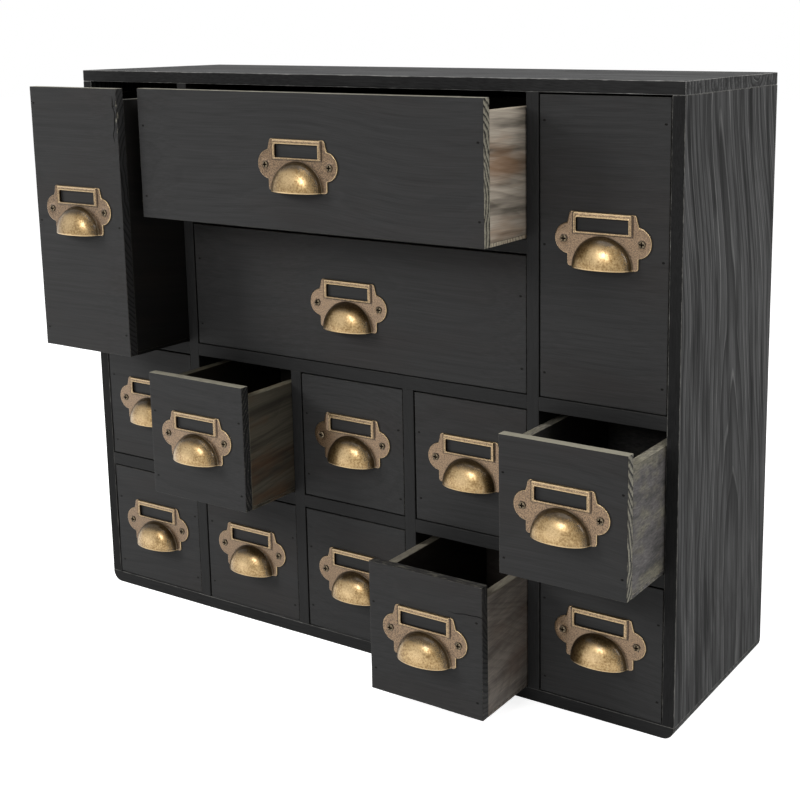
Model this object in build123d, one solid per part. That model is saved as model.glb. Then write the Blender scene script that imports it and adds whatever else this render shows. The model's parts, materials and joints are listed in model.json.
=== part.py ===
from build123d import *
import os

# Seed storage cabinet: an upright wooden casing with fourteen drawers, in millimetres.
# The frame's origin is the middle of the casing's underside. +X is to the right, +Y to the back and
# +Z up, so the drawers pull out along -Y. Five drawers stand part open, as they are stored.

# ---- Casing: the cells set its width and height ----
column_count = 5            # cells side by side
cell_width = 107.6          # clear width of one cell
cell_height = 110.6         # clear height of one cell
casing_depth = 180.0        # front edge of the boards to the back edge
side_thickness = 10.0
top_thickness = 10.0
bottom_thickness = 10.5
partition_thickness = 10.5  # upright boards between cells
shelf_thickness = 11.0      # level boards between cells
back_thickness = 4.0        # back panel, let in between the side boards
bottom_corner_radius = 10.0 # long lower corners of the bottom board
least_edge_flat = 0.4       # left above that rounding
top_edge_radius = 1.6       # sanded upper edges of the top board

# ---- Drawers ----
side_gap = 0.9              # cell wall to drawer, each side
top_gap = 1.6               # above a front
bottom_gap = 0.8            # below a front
rear_gap = 6.0              # drawer back to back panel when shut
front_recess = 0.7          # a shut front sits this far behind the casing's front edge
front_thickness = 8.0
front_edge_radius = 0.6     # sanded edges round the face of a front
drawer_side_thickness = 8.0
drawer_back_thickness = 8.0
drawer_bottom_thickness = 2.8
side_drop = 9.5             # top edge of a drawer's sides below the top of its front

# ---- Label pull: heights are from the line through its two screws ----
plate_thickness = 1.2
plate_top = 20.8
plate_bottom = -20.2
plate_top_half_width = 27.4
plate_neck_half_width = 29.6  # where the plate meets its round ears
plate_corner_radius = 3.0
ear_radius = 11.7
ear_offset = 28.0
ear_height = 0.5
window_width = 43.0
window_height = 10.3
window_bottom = 6.3
rim_side_width = 2.2        # raised frame beside and below the window
rim_rise = 1.5              # frame above the plate
cup_radius = 24.0           # half-round foot of the cup on the plate
cup_shoulder_radius = 20.2
cup_shoulder_height = 9.6   # from the drawer front
cup_depth = 14.5            # from the drawer front to the cup's nose
cup_wall = 1.1

# ---- Pull screws ----
screw_spacing = 64.0
screw_shank_radius = 1.2
screw_head_radius = 2.6
screw_head_height = 1.0
screw_grip = 6.0            # length in the wood
screw_head_edge_radius = 0.45
recess_width = 0.7          # cross recess in the head
recess_length = 3.0
recess_depth = 0.6

# ---- How high the screws sit above the middle of a front ----
pull_raise_small = 3.2
pull_raise_wide = -2.5
pull_raise_tall = 9.5

# ---- How far each open front stands out beyond the casing ----
open_tall_left = 70.0
open_wide_upper = 58.0
open_upper_2 = 62.0
open_upper_5 = 61.0
open_lower_4 = 66.0

# ---- Places worked out from the sizes above ----
inner_width = column_count * cell_width + (column_count - 1) * partition_thickness
casing_width = inner_width + 2 * side_thickness
cell_pitch_x = cell_width + partition_thickness
cell_pitch_z = cell_height + shelf_thickness
casing_front = -casing_depth / 2
board_depth = casing_depth - back_thickness
lower_row = bottom_thickness
upper_row = lower_row + cell_pitch_z
shelf_level = upper_row + cell_pitch_z
wide_level = shelf_level + cell_pitch_z
inner_top = wide_level + cell_height
casing_height = inner_top + top_thickness
tall_cell_height = inner_top - shelf_level
wide_columns = column_count - 2
drawer_length = board_depth - front_recess - rear_gap


def cell_left(column):
    """X of the left wall of a cell, columns counted from 0."""
    return -inner_width / 2 + column * cell_pitch_x


def span_width(columns):
    """Clear width of cells side by side with no partition between them."""
    return columns * cell_width + (columns - 1) * partition_thickness


def board(width, depth, height, left, front, low):
    """A square board from its left, front and lower corner."""
    return Pos(left, front, low) * Box(width, depth, height, align=(Align.MIN, Align.MIN, Align.MIN))


# ---- Casing boards ----
def make_top_board():
    top = board(casing_width, casing_depth, top_thickness, -casing_width / 2, casing_front, inner_top)
    upper = top.faces().sort_by(Axis.Z)[-1]
    return fillet(upper.edges(), top_edge_radius)


def make_bottom_board():
    bottom = board(casing_width, casing_depth, bottom_thickness, -casing_width / 2, casing_front, 0)
    lower_corners = bottom.faces().sort_by(Axis.Z)[0].edges().filter_by(Axis.Y)
    return fillet(lower_corners, min(bottom_corner_radius, bottom_thickness - least_edge_flat))


def make_side_board(left):
    height = inner_top - bottom_thickness
    return board(side_thickness, casing_depth, height, left, casing_front, bottom_thickness)


def make_back_panel():
    height = inner_top - bottom_thickness
    front = casing_front + board_depth
    return board(inner_width, back_thickness, height, -inner_width / 2, front, bottom_thickness)


def make_partition(column, top):
    """An upright board on the right of a column, from the bottom board up to a level."""
    left = cell_left(column) + cell_width
    height = top - bottom_thickness
    return board(partition_thickness, board_depth, height, left, casing_front, bottom_thickness)


def make_shelf(column, columns, top):
    """A level board across one or more cells, with its upper face at a level."""
    low = top - shelf_thickness
    return board(span_width(columns), board_depth, shelf_thickness, cell_left(column), casing_front, low)


def make_casing():
    centre_shelf_low = shelf_level - shelf_thickness
    last = column_count - 1
    casing = {
        "top_board": make_top_board(),
        "bottom_board": make_bottom_board(),
        "left_side": make_side_board(-casing_width / 2),
        "right_side": make_side_board(casing_width / 2 - side_thickness),
        "back_panel": make_back_panel(),
        "left_partition": make_partition(0, inner_top),
        "right_partition": make_partition(last - 1, inner_top),
        "left_shelf": make_shelf(0, 1, shelf_level),
        "centre_shelf": make_shelf(1, wide_columns, shelf_level),
        "right_shelf": make_shelf(last, 1, shelf_level),
        "wide_divider": make_shelf(1, wide_columns, wide_level),
    }
    for column in range(1, wide_columns):
        casing[f"short_partition_{column}"] = make_partition(column, centre_shelf_low)
    for column in range(column_count):
        casing[f"row_divider_{column + 1}"] = make_shelf(column, 1, upper_row)
    return casing


# ---- Drawers ----
def make_front(width, height, screw_height):
    """Front board with blind screw holes; its face is at Y 0, its lower left corner at X 0 and Z 0."""
    front = board(width, front_thickness, height, 0, 0, 0)
    front = fillet(front.faces().sort_by(Axis.Y)[0].edges(), front_edge_radius)
    for side in (-1, 1):
        hole = Cylinder(screw_shank_radius, screw_grip, rotation=(90, 0, 0))
        front -= Pos(width / 2 + side * screw_spacing / 2, screw_grip / 2, screw_height) * hole
    return front


def make_drawer_box(width, front_height):
    """Bottom sheet, two sides and back board behind a front, in the front's own frame."""
    length = drawer_length - front_thickness
    wall_height = front_height - side_drop - drawer_bottom_thickness
    inner = width - 2 * drawer_side_thickness
    back_front = drawer_length - drawer_back_thickness
    sheet = board(width, length, drawer_bottom_thickness, 0, front_thickness, 0)
    level = drawer_bottom_thickness
    left = board(drawer_side_thickness, length, wall_height, 0, front_thickness, level)
    right_x = width - drawer_side_thickness
    right = board(drawer_side_thickness, length, wall_height, right_x, front_thickness, level)
    back = board(inner, drawer_back_thickness, wall_height, drawer_side_thickness, back_front, level)
    return [sheet, left, right, back]


# ---- Label pull, with X across, Y up from the screw line and Z out from the drawer front ----
def make_plate():
    """Flat plate: a block that widens down to its neck, and a round ear on each side."""
    half = plate_top_half_width
    neck = plate_neck_half_width
    block = Polygon(
        (-neck, plate_bottom), (neck, plate_bottom), (neck, ear_height),
        (half, plate_top), (-half, plate_top), (-neck, ear_height), align=None,
    )
    corners = [corner for corner in block.vertices() if abs(corner.Y - ear_height) > plate_corner_radius]
    outline = fillet(corners, plate_corner_radius)
    for side in (-1, 1):
        outline += Pos(side * ear_offset, ear_height) * Circle(ear_radius)
        outline -= Pos(side * screw_spacing / 2, 0) * Circle(screw_shank_radius)
    return extrude(outline, plate_thickness, dir=(0, 0, 1))


def make_window_rim():
    """Raised frame that runs up to the plate's top edge."""
    low = window_bottom - rim_side_width
    rim = Rectangle(window_width + 2 * rim_side_width, plate_top - low, align=(Align.CENTER, Align.MIN))
    return extrude(Pos(0, low) * rim, plate_thickness + rim_rise)


def make_window():
    window = Rectangle(window_width, window_height, align=(Align.CENTER, Align.MIN))
    return extrude(Pos(0, window_bottom) * window, plate_thickness + rim_rise)


def make_cup_body(inset):
    """Solid half dome: a leaning wall up to a shoulder, then a low crown. inset shrinks it by a wall."""
    foot = cup_radius - inset
    shoulder = (cup_shoulder_radius - inset, cup_shoulder_height - inset / 2)
    nose = (0, cup_depth - inset)
    with BuildSketch(Plane.XZ) as profile:
        with BuildLine():
            Polyline(nose, (0, 0), (foot, 0), shoulder)
            TangentArc(nose, shoulder, tangent=(1, 0))
        make_face()
    return Pos(0, plate_bottom) * revolve(profile.sketch, axis=Axis.Z, revolution_arc=180)


def make_pull():
    plate = make_plate() + make_window_rim() - make_window()
    return plate + make_cup_body(0) - make_cup_body(cup_wall)


def make_screw():
    """Pan-head screw with a cross recess; its head stands on the plate."""
    seat = plate_thickness
    reach = plate_thickness + screw_grip
    upward = (Align.CENTER, Align.CENTER, Align.MIN)
    screw = Pos(0, 0, seat) * Cylinder(screw_head_radius, screw_head_height, align=upward)
    screw = fillet(screw.edges().sort_by(Axis.Z)[-1], screw_head_edge_radius)
    screw += Pos(0, 0, seat - reach) * Cylinder(screw_shank_radius, reach, align=upward)
    slot_floor = seat + screw_head_height - recess_depth
    for width, length in ((recess_width, recess_length), (recess_length, recess_width)):
        screw -= Pos(0, 0, slot_floor) * Box(width, length, screw_head_height, align=upward)
    return screw


def list_drawers():
    """Each drawer: name, first column, columns, lower level, cell height, screw raise, opening."""
    last = column_count - 1
    drawers = [
        ("tall_left", 0, 1, shelf_level, tall_cell_height, pull_raise_tall, open_tall_left),
        ("tall_right", last, 1, shelf_level, tall_cell_height, pull_raise_tall, None),
        ("wide_upper", 1, wide_columns, wide_level, cell_height, pull_raise_wide, open_wide_upper),
        ("wide_lower", 1, wide_columns, shelf_level, cell_height, pull_raise_wide, None),
    ]
    opened = {"upper_2": open_upper_2, "upper_5": open_upper_5, "lower_4": open_lower_4}
    for row, level in (("upper", upper_row), ("lower", lower_row)):
        for column in range(column_count):
            name = f"{row}_{column + 1}"
            drawers.append((name, column, 1, level, cell_height, pull_raise_small, opened.get(name)))
    return drawers


def make_drawer(name, column, columns, level, height_of_cell, pull_raise, opening, pull, screw):
    """The front, box and pull of one drawer, in place. An opening of None leaves it shut."""
    width = span_width(columns) - 2 * side_gap
    height = height_of_cell - top_gap - bottom_gap
    face = casing_front + front_recess if opening is None else casing_front - opening
    screw_height = height / 2 + pull_raise
    corner = Pos(cell_left(column) + side_gap, face, level + bottom_gap)
    facing = Plane(origin=(width / 2, 0, screw_height), x_dir=(1, 0, 0), z_dir=(0, -1, 0))
    screws = [Pos(side * screw_spacing / 2, 0, 0) * screw for side in (-1, 1)]
    pull_pieces = [corner * facing.location * piece for piece in [pull] + screws]
    return {
        f"{name}_front": corner * make_front(width, height, screw_height),
        f"{name}_box": Compound([corner * piece for piece in make_drawer_box(width, height)]),
        f"{name}_pull": Compound(pull_pieces),
    }


def main():
    nodes = make_casing()
    pull = make_pull()
    screw = make_screw()
    for drawer in list_drawers():
        nodes.update(make_drawer(*drawer, pull, screw))
    os.makedirs("parts", exist_ok=True)
    for name, shape in nodes.items():
        export_step(shape, f"parts/{name}.step")
    print(f"casing {casing_width:.1f} x {casing_depth:.1f} x {casing_height:.1f} mm, {len(nodes)} nodes")


main()
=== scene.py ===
"""Dress of a seed storage cabinet: black-stained pine boards, washed drawer sides and antique brass pulls.

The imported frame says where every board, drawer and pull is. Each one is rebuilt here as the real piece:
boards sawn from a log with eased and worn edges, cast label pulls with a hollow cup, cross-recess screws
and brad heads. Lengths are metres in the frame; the pull and the wood grain are worked out in millimetres.
"""

import json
import logging
import math
from dataclasses import dataclass, field, replace
from enum import Enum
from typing import Any, Callable

import bpy
import numpy as np
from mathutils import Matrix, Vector
from mathutils.geometry import delaunay_2d_cdt


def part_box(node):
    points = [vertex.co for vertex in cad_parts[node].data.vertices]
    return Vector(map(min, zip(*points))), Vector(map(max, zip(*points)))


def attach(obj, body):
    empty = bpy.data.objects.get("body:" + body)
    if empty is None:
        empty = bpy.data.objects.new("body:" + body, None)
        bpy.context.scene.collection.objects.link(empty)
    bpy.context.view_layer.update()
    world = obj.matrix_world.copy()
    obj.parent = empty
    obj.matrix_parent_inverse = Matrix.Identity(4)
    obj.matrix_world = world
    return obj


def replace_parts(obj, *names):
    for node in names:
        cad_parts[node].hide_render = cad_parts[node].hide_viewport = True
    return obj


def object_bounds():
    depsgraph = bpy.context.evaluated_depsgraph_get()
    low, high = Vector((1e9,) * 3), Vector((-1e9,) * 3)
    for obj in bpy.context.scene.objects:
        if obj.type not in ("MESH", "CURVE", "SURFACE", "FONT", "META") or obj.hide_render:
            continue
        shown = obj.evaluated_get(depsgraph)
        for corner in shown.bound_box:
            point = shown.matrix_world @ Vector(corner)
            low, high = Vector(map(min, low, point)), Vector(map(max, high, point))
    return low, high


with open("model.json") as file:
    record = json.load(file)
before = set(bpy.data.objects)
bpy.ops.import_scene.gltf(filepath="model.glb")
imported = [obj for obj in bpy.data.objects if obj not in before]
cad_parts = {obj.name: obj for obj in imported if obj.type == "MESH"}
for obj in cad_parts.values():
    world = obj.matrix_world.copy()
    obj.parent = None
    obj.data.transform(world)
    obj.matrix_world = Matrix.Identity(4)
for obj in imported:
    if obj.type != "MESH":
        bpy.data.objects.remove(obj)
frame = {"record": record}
CAD_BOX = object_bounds()

logging.basicConfig(level=logging.INFO, format="%(message)s")
log = logging.getLogger("cabinet")

MM = 0.001

# Names of the values that meshes carry for their finishes.
GRAIN = "grain_mm"          # place in the log: along the grain, then two ways across it
EDGE = "edge_mm"            # distance to the board's nearest edge
END = "end_grain"           # 1 on a sawn end
BARE_AND_HIGHLIGHT = "bare"               # share of the stain that is missing, on some fronts' top edges also a painted highlight
SOAK_AND_SPLIT_SHADE = "soak"               # share of the deepest stain on some sides, and painted shade in splits and cracks
CUP = "cup"                 # 1 on the pull's cup, 0 on its plate
RUB_AND_HIGHLIGHT = "rub"                 # how much a place is rubbed bright, and on the cup's front also a painted highlight halo
PATINA_AND_SHADE = "hollow"           # how much dark patina a place keeps, and painted shade: a dark reflection on the cup, rings round the screws and their recesses


# ---------------------------------------------------------------- meshes
@dataclass
class Surface:
    """Points in the making, with their faces and the values that each point carries."""

    points: np.ndarray
    faces: list[list[int]]
    values: dict[str, np.ndarray] = field(default_factory=dict)

    def joined(self, other: "Surface") -> "Surface":
        """Both surfaces as one, with the same named values.

        Args:
            other: a surface that carries the same values as this one.

        Returns:
            A surface that holds both, not welded.
        """
        shift = len(self.points)
        faces = self.faces + [[corner + shift for corner in face] for face in other.faces]
        values = {key: np.concatenate([self.values[key], other.values[key]]) for key in self.values}
        return Surface(np.concatenate([self.points, other.points]), faces, values)

    def to_object(self, name: str, material: bpy.types.Material, smooth: bool = True) -> bpy.types.Object:
        """Makes the Blender object at the origin, with its place in its mesh.

        Args:
            name: the piece's name.
            material: its finish.
            smooth: whether faces are shaded as one curved surface.

        Returns:
            The new object, linked to the scene.
        """
        mesh = bpy.data.meshes.new(name)
        mesh.from_pydata(self.points.tolist(), [], self.faces)
        mesh.polygons.foreach_set("use_smooth", np.full(len(mesh.polygons), smooth))
        for key, numbers in self.values.items():
            kind = "FLOAT_VECTOR" if numbers.ndim == 2 else "FLOAT"
            slot = "vector" if numbers.ndim == 2 else "value"
            attribute = mesh.attributes.new(key, kind, "POINT")
            attribute.data.foreach_set(slot, numbers.astype(np.float32).ravel())
        mesh.materials.append(material)
        mesh.update()
        piece = bpy.data.objects.new(name, mesh)
        bpy.context.scene.collection.objects.link(piece)
        return piece


def grid_faces(rows: int, columns: int, wrap_columns: bool = False) -> np.ndarray:
    """Quads of a grid of points numbered row by row.

    Args:
        rows: lines of points.
        columns: points in a line.
        wrap_columns: whether each line closes on itself.

    Returns:
        An array of four corner numbers a quad, turning from rows to columns.
    """
    row = np.arange(rows - 1)[:, None]
    column = np.arange(columns if wrap_columns else columns - 1)[None, :]
    next_row, next_column = row + 1, (column + 1) % columns
    corners = [row * columns + column, next_row * columns + column,
               next_row * columns + next_column, row * columns + next_column]
    return np.stack(np.broadcast_arrays(*corners), -1).reshape(-1, 4)


def waves(place: np.ndarray, seed: int, lengths: tuple[float, ...]) -> np.ndarray:
    """Smooth unevenness from 0 to 1: a mean of sine waves of the given lengths, each turned at random.

    Args:
        place: points, one a row.
        seed: picks the turns.
        lengths: wave lengths, in the points' own unit.

    Returns:
        One number a point.
    """
    random = np.random.default_rng(seed)
    total = np.zeros(len(place))
    for length in lengths:
        direction = random.normal(size=place.shape[1])
        direction /= np.linalg.norm(direction)
        total += np.sin(place @ direction * (2 * math.pi / length) + random.uniform(0, 2 * math.pi))
    return 0.5 + 0.5 * total / len(lengths)


# ---------------------------------------------------------------- materials
def linear(code: str) -> tuple[float, float, float, float]:
    """An sRGB hex colour as linear red, green, blue and alpha."""
    channels = [int(code[i:i + 2], 16) / 255 for i in (1, 3, 5)]
    return (*[c / 12.92 if c <= 0.04045 else ((c + 0.055) / 1.055) ** 2.4 for c in channels], 1.0)


class Node(Enum):
    """Nodes that finishes are wired from: type, settings, inputs in the order they are given, and output."""

    ADD = ("ShaderNodeMath", {"operation": "ADD"}, (0, 1), 0)
    SUBTRACT = ("ShaderNodeMath", {"operation": "SUBTRACT"}, (0, 1), 0)
    MULTIPLY = ("ShaderNodeMath", {"operation": "MULTIPLY"}, (0, 1), 0)
    DIVIDE = ("ShaderNodeMath", {"operation": "DIVIDE"}, (0, 1), 0)
    MAXIMUM = ("ShaderNodeMath", {"operation": "MAXIMUM"}, (0, 1), 0)
    FRACTION = ("ShaderNodeMath", {"operation": "FRACT"}, (0,), 0)
    FLOOR = ("ShaderNodeMath", {"operation": "FLOOR"}, (0,), 0)
    STRETCH = ("ShaderNodeVectorMath", {"operation": "MULTIPLY"}, (0, 1), 0)
    BRIGHTEN = ("ShaderNodeVectorMath", {"operation": "SCALE"}, (0, "Scale"), 0)
    LENGTH = ("ShaderNodeVectorMath", {"operation": "LENGTH"}, (0,), "Value")
    FIRST_PART = ("ShaderNodeSeparateXYZ", {}, (0,), "X")
    BLEND = ("ShaderNodeMix", {"data_type": "RGBA"}, (0, 6, 7), 2)
    RAMP = ("ShaderNodeValToRGB", {}, ("Fac",), 0)
    SPAN = ("ShaderNodeMapRange", {}, ("Value", "To Min", "To Max"), "Result")
    NOISE = ("ShaderNodeTexNoise", {}, ("Vector", "Scale", "Detail", "Roughness"), 0)
    DICE = ("ShaderNodeTexWhiteNoise", {"noise_dimensions": "1D"}, ("W",), 0)
    CARRIED_PLACE = ("ShaderNodeAttribute", {}, (), "Vector")
    CARRIED_VALUE = ("ShaderNodeAttribute", {}, (), "Fac")
    OBJECT_PLACE = ("ShaderNodeTexCoord", {}, (), "Object")
    LIGHT_PATH = ("ShaderNodeLightPath", {}, (), 0)
    BUMP = ("ShaderNodeBump", {}, ("Height", "Distance", "Strength"), "Normal")
    STAINED = ("ShaderNodeBsdfPrincipled", {},
               ("Base Color", "Roughness", "Specular IOR Level", "Normal"), "BSDF")
    METAL = ("ShaderNodeBsdfPrincipled", {},
             ("Base Color", "Roughness", "Normal", "Metallic", "Coat Weight", "Coat Roughness"), "BSDF")
    MATT = ("ShaderNodeBsdfDiffuse", {}, ("Color",), 0)
    GLOW = ("ShaderNodeEmission", {}, ("Color", "Strength"), 0)
    BOTH = ("ShaderNodeAddShader", {}, (0, 1), 0)
    BACKGROUND = ("ShaderNodeBackground", {}, ("Color", "Strength"), 0)
    MATERIAL_OUTPUT = ("ShaderNodeOutputMaterial", {}, ("Surface",), 0)
    WORLD_OUTPUT = ("ShaderNodeOutputWorld", {}, ("Surface",), 0)


class Wiring:
    """The nodes of a material or a world while they are being wired."""

    def __init__(self, owner: bpy.types.Material | bpy.types.World) -> None:
        """Starts with no nodes.

        Args:
            owner: what the nodes belong to.
        """
        owner.use_nodes = True
        self.tree = owner.node_tree
        self.tree.nodes.clear()

    def add(self, kind: Node, *inputs: Any, stops: tuple[tuple[float, float], ...] = (),
            **settings: Any) -> bpy.types.NodeSocket | None:
        """Adds one node with its settings and links.

        Args:
            kind: which node.
            inputs: a value, or the socket that it is linked from, for each input in the kind's order.
            stops: grey levels of a ramp as place and level, its first and last ahead of those between.
            settings: the node's own properties, besides the kind's.

        Returns:
            The kind's output, or nothing where it has none.
        """
        node_type, fixed, names, output = kind.value
        node = self.tree.nodes.new(node_type)
        for key, value in (fixed | settings).items():
            setattr(node, key, value)
        for name, value in zip(names, inputs):
            if isinstance(value, bpy.types.NodeSocket):
                self.tree.links.new(value, node.inputs[name])
            else:
                node.inputs[name].default_value = value
        for number, (place, level) in enumerate(stops):
            ramp = node.color_ramp.elements
            stop = ramp[number] if number < 2 else ramp.new(place)
            stop.position = place
            stop.color = (level, level, level, 1.0)
        return node.outputs[output] if node.outputs else None

    def looked_at(self) -> bpy.types.NodeSocket:
        """Tells rays that show something from those that only bring light.

        Returns:
            1 for rays from the camera, in gloss and through glass, and 0 for the others.
        """
        path = self.add(Node.LIGHT_PATH).node.outputs
        seen = self.add(Node.MAXIMUM, path["Is Camera Ray"], path["Is Glossy Ray"])
        return self.add(Node.MAXIMUM, seen, path["Is Transmission Ray"])


class Side(Enum):
    """The sides of a board that can differ from the rest, as axis and direction."""

    LEFT = (0, -1)
    RIGHT = (0, 1)
    FRONT = (1, -1)
    TOP = (2, 1)


class Along(Enum):
    """The way a board's grain runs, as the order of axes: along it, then the two across it."""

    X = (0, 1, 2)
    Y = (1, 0, 2)
    Z = (2, 1, 0)


@dataclass(frozen=True)
class PineFinish:
    """Sawn pine under a stain.

    Each ring darkens towards its late wood and ends in a hard thin line that took little stain. Brush marks
    run with the grain, sawn ends show the rings crisply, and edges are rubbed bare.
    """

    name: str
    early: str                   # colour between the rings
    late: str                    # colour of each ring's dark late wood
    line: str                    # the hard line where a ring ends
    deep: str                    # long dark streaks
    warm: str                    # patches where brown wood shows through
    bare: str                    # edges and tops with the stain gone, along some arrises also a painted highlight
    ring_gap_mm: float = 6.5
    ring_share: float = 0.6      # how strongly the late wood shows
    line_share: float = 0.4      # and the hard line
    end_bare: float = 0.3        # how much paler the lines are on a sawn end
    end_dark: float = 0.6        # and how much darker its late wood
    streak_share: float = 0.5
    warm_share: float = 0.0
    wear_mm: float = 0.7         # how far rubbing reaches in from an edge
    wear_share: float = 0.5
    fibre_share: float = 0.25    # light and dark of single fibres
    roughness: float = 0.5
    sheen_level: float = 0.4     # specular level of the dried stain
    taper: float = 0.032         # narrowing of the log along its length
    waver_mm: float = 9.0        # how far rings wander
    fibre_mm: tuple[float, float] = (42.0, 1.1)     # length and width of a fibre mark
    streak_mm: tuple[float, float] = (260.0, 8.0)
    patch_mm: tuple[float, float] = (75.0, 24.0)
    waver_length_mm: tuple[float, float] = (170.0, 42.0)
    wear_mark_mm: tuple[float, float] = (9.0, 2.2)
    relief_mm: float = 0.12      # height of rings and brush marks
    relief_strength: float = 0.6
    ring_relief: float = 0.45    # the rings' share of that relief, the fibres having the rest
    year_spread: float = 0.75    # how much the rings' late wood differs from year to year
    line_spread: float = 0.8     # and the hard lines
    end_held: float = 0.36       # stain that a sawn end's late wood keeps where the rest is bare
    wear_reach: float = 1.9      # how readily an exposed place goes bare
    wear_break: float = 1.3      # how much the short marks break that up
    wear_edge: float = 1.5       # how sharply stain and bare wood meet
    gloss_spread: float = 0.3    # how much roughness differs from fibre to fibre

    RING_STOPS = ((0.0, 0.05), (1.0, 0.3), (0.35, 0.0), (0.85, 1.0))    # late wood over one ring
    LINE_STOPS = ((0.84, 0.0), (1.0, 0.0), (0.91, 1.0), (0.96, 0.7))    # hard line over one ring
    STREAK_STOPS = ((0.44, 0.0), (0.66, 1.0))
    PATCH_STOPS = ((0.47, 0.0), (0.66, 1.0))

    def build(self) -> bpy.types.Material:
        """Wires the material.

        Returns:
            The finished material.
        """
        material = bpy.data.materials.new(self.name)
        add = Wiring(material).add
        early, late, hard, deep, warm, fresh = (linear(code) for code in (
            self.early, self.late, self.line, self.deep, self.warm, self.bare))
        grain = add(Node.CARRIED_PLACE, attribute_name=GRAIN)
        sawn, soak, edge, bare = (add(Node.CARRIED_VALUE, attribute_name=key)
                                  for key in (END, SOAK_AND_SPLIT_SHADE, EDGE, BARE_AND_HIGHLIGHT))

        # Noises whose blots have a length along the grain and a width across it, with detail and roughness.
        noises = []
        for (length, width), detail, rough in (
                (self.waver_length_mm, 2.0, 0.5), (self.fibre_mm, 4.0, 0.65), (self.streak_mm, 3.0, 0.6),
                (self.patch_mm, 3.0, 0.6), (self.wear_mark_mm, 3.0, 0.7)):
            scaled = add(Node.STRETCH, grain, (1 / length, 1 / width, 1 / width))
            noises.append(add(Node.NOISE, scaled, 1.0, detail, rough))
        wander, fibre, long_marks, blots, short_marks = noises
        fibre_swing = add(Node.SUBTRACT, fibre, 0.5)

        # Annual rings: the distance from the log's heart, wavering and narrowing along the log, over the gap.
        radius = add(Node.LENGTH, add(Node.STRETCH, grain, (0, 1, 1)))
        narrowing = add(Node.MULTIPLY, add(Node.FIRST_PART, grain), self.taper)
        waver = add(Node.MULTIPLY, add(Node.SUBTRACT, wander, 0.5), 2 * self.waver_mm)
        reach = add(Node.ADD, add(Node.ADD, radius, narrowing), waver)
        count = add(Node.DIVIDE, reach, self.ring_gap_mm)
        share = add(Node.FRACTION, count)
        year = add(Node.DICE, add(Node.FLOOR, count))
        ring = add(Node.RAMP, share, stops=self.RING_STOPS)
        line = add(Node.RAMP, share, stops=self.LINE_STOPS)
        year_level = add(Node.ADD, add(Node.MULTIPLY, year, self.year_spread), 1 - self.year_spread)
        ring_mark = add(Node.MULTIPLY, add(Node.MULTIPLY, ring, self.ring_share), year_level)
        line_level = add(Node.ADD, add(Node.MULTIPLY, sawn, self.end_bare), self.line_share)
        line_left = add(Node.SUBTRACT, 1.0, add(Node.MULTIPLY, year, self.line_spread))
        line_mark = add(Node.MULTIPLY, add(Node.MULTIPLY, line, line_level), line_left)

        # The stain's colours, each laid over the last by a share.
        end_ring = add(Node.MULTIPLY, add(Node.MULTIPLY, ring, sawn), self.end_dark)
        streak = add(Node.MULTIPLY, add(Node.RAMP, long_marks, stops=self.STREAK_STOPS), self.streak_share)
        patch = add(Node.MULTIPLY, add(Node.RAMP, blots, stops=self.PATCH_STOPS), self.warm_share)
        colour = add(Node.BLEND, ring_mark, early, late)
        # The soak share lays the deepest stain on some sides, and painted shade in splits and cracks.
        for laid, over in ((end_ring, deep), (line_mark, hard), (streak, deep), (patch, warm), (soak, deep)):
            colour = add(Node.BLEND, laid, colour, over)

        # Wear: close to an edge and on the bare sides, broken up by short marks along the grain. On the
        # casing's arrises and some fronts' top edges this pale wear is partly a painted highlight.
        near = add(Node.SUBTRACT, 1.0, add(Node.DIVIDE, edge, self.wear_mm), use_clamp=True)
        rubbed = add(Node.MULTIPLY, near, self.wear_share)
        held = add(Node.MULTIPLY, add(Node.MULTIPLY, sawn, ring), self.end_held)
        exposed = add(Node.MAXIMUM, rubbed, add(Node.SUBTRACT, bare, held))
        opened = add(Node.MULTIPLY, exposed, self.wear_reach)
        broken = add(Node.SUBTRACT, opened, add(Node.MULTIPLY, short_marks, self.wear_break))
        worn = add(Node.MULTIPLY, broken, self.wear_edge, use_clamp=True)
        colour = add(Node.BLEND, worn, colour, fresh)

        # Single fibres lighten and darken whatever lies over them.
        tone = add(Node.ADD, add(Node.MULTIPLY, fibre_swing, 2 * self.fibre_share), 1.0)
        colour = add(Node.BRIGHTEN, colour, tone)
        ring_height = add(Node.MULTIPLY, ring_mark, self.ring_relief)
        height = add(Node.ADD, ring_height, add(Node.MULTIPLY, fibre, 1 - self.ring_relief))
        bump = add(Node.BUMP, height, self.relief_mm * MM, self.relief_strength)
        gloss = add(Node.ADD, add(Node.MULTIPLY, fibre_swing, self.gloss_spread), self.roughness)
        add(Node.MATERIAL_OUTPUT, add(Node.STAINED, colour, gloss, self.sheen_level, bump))
        return material


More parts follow.
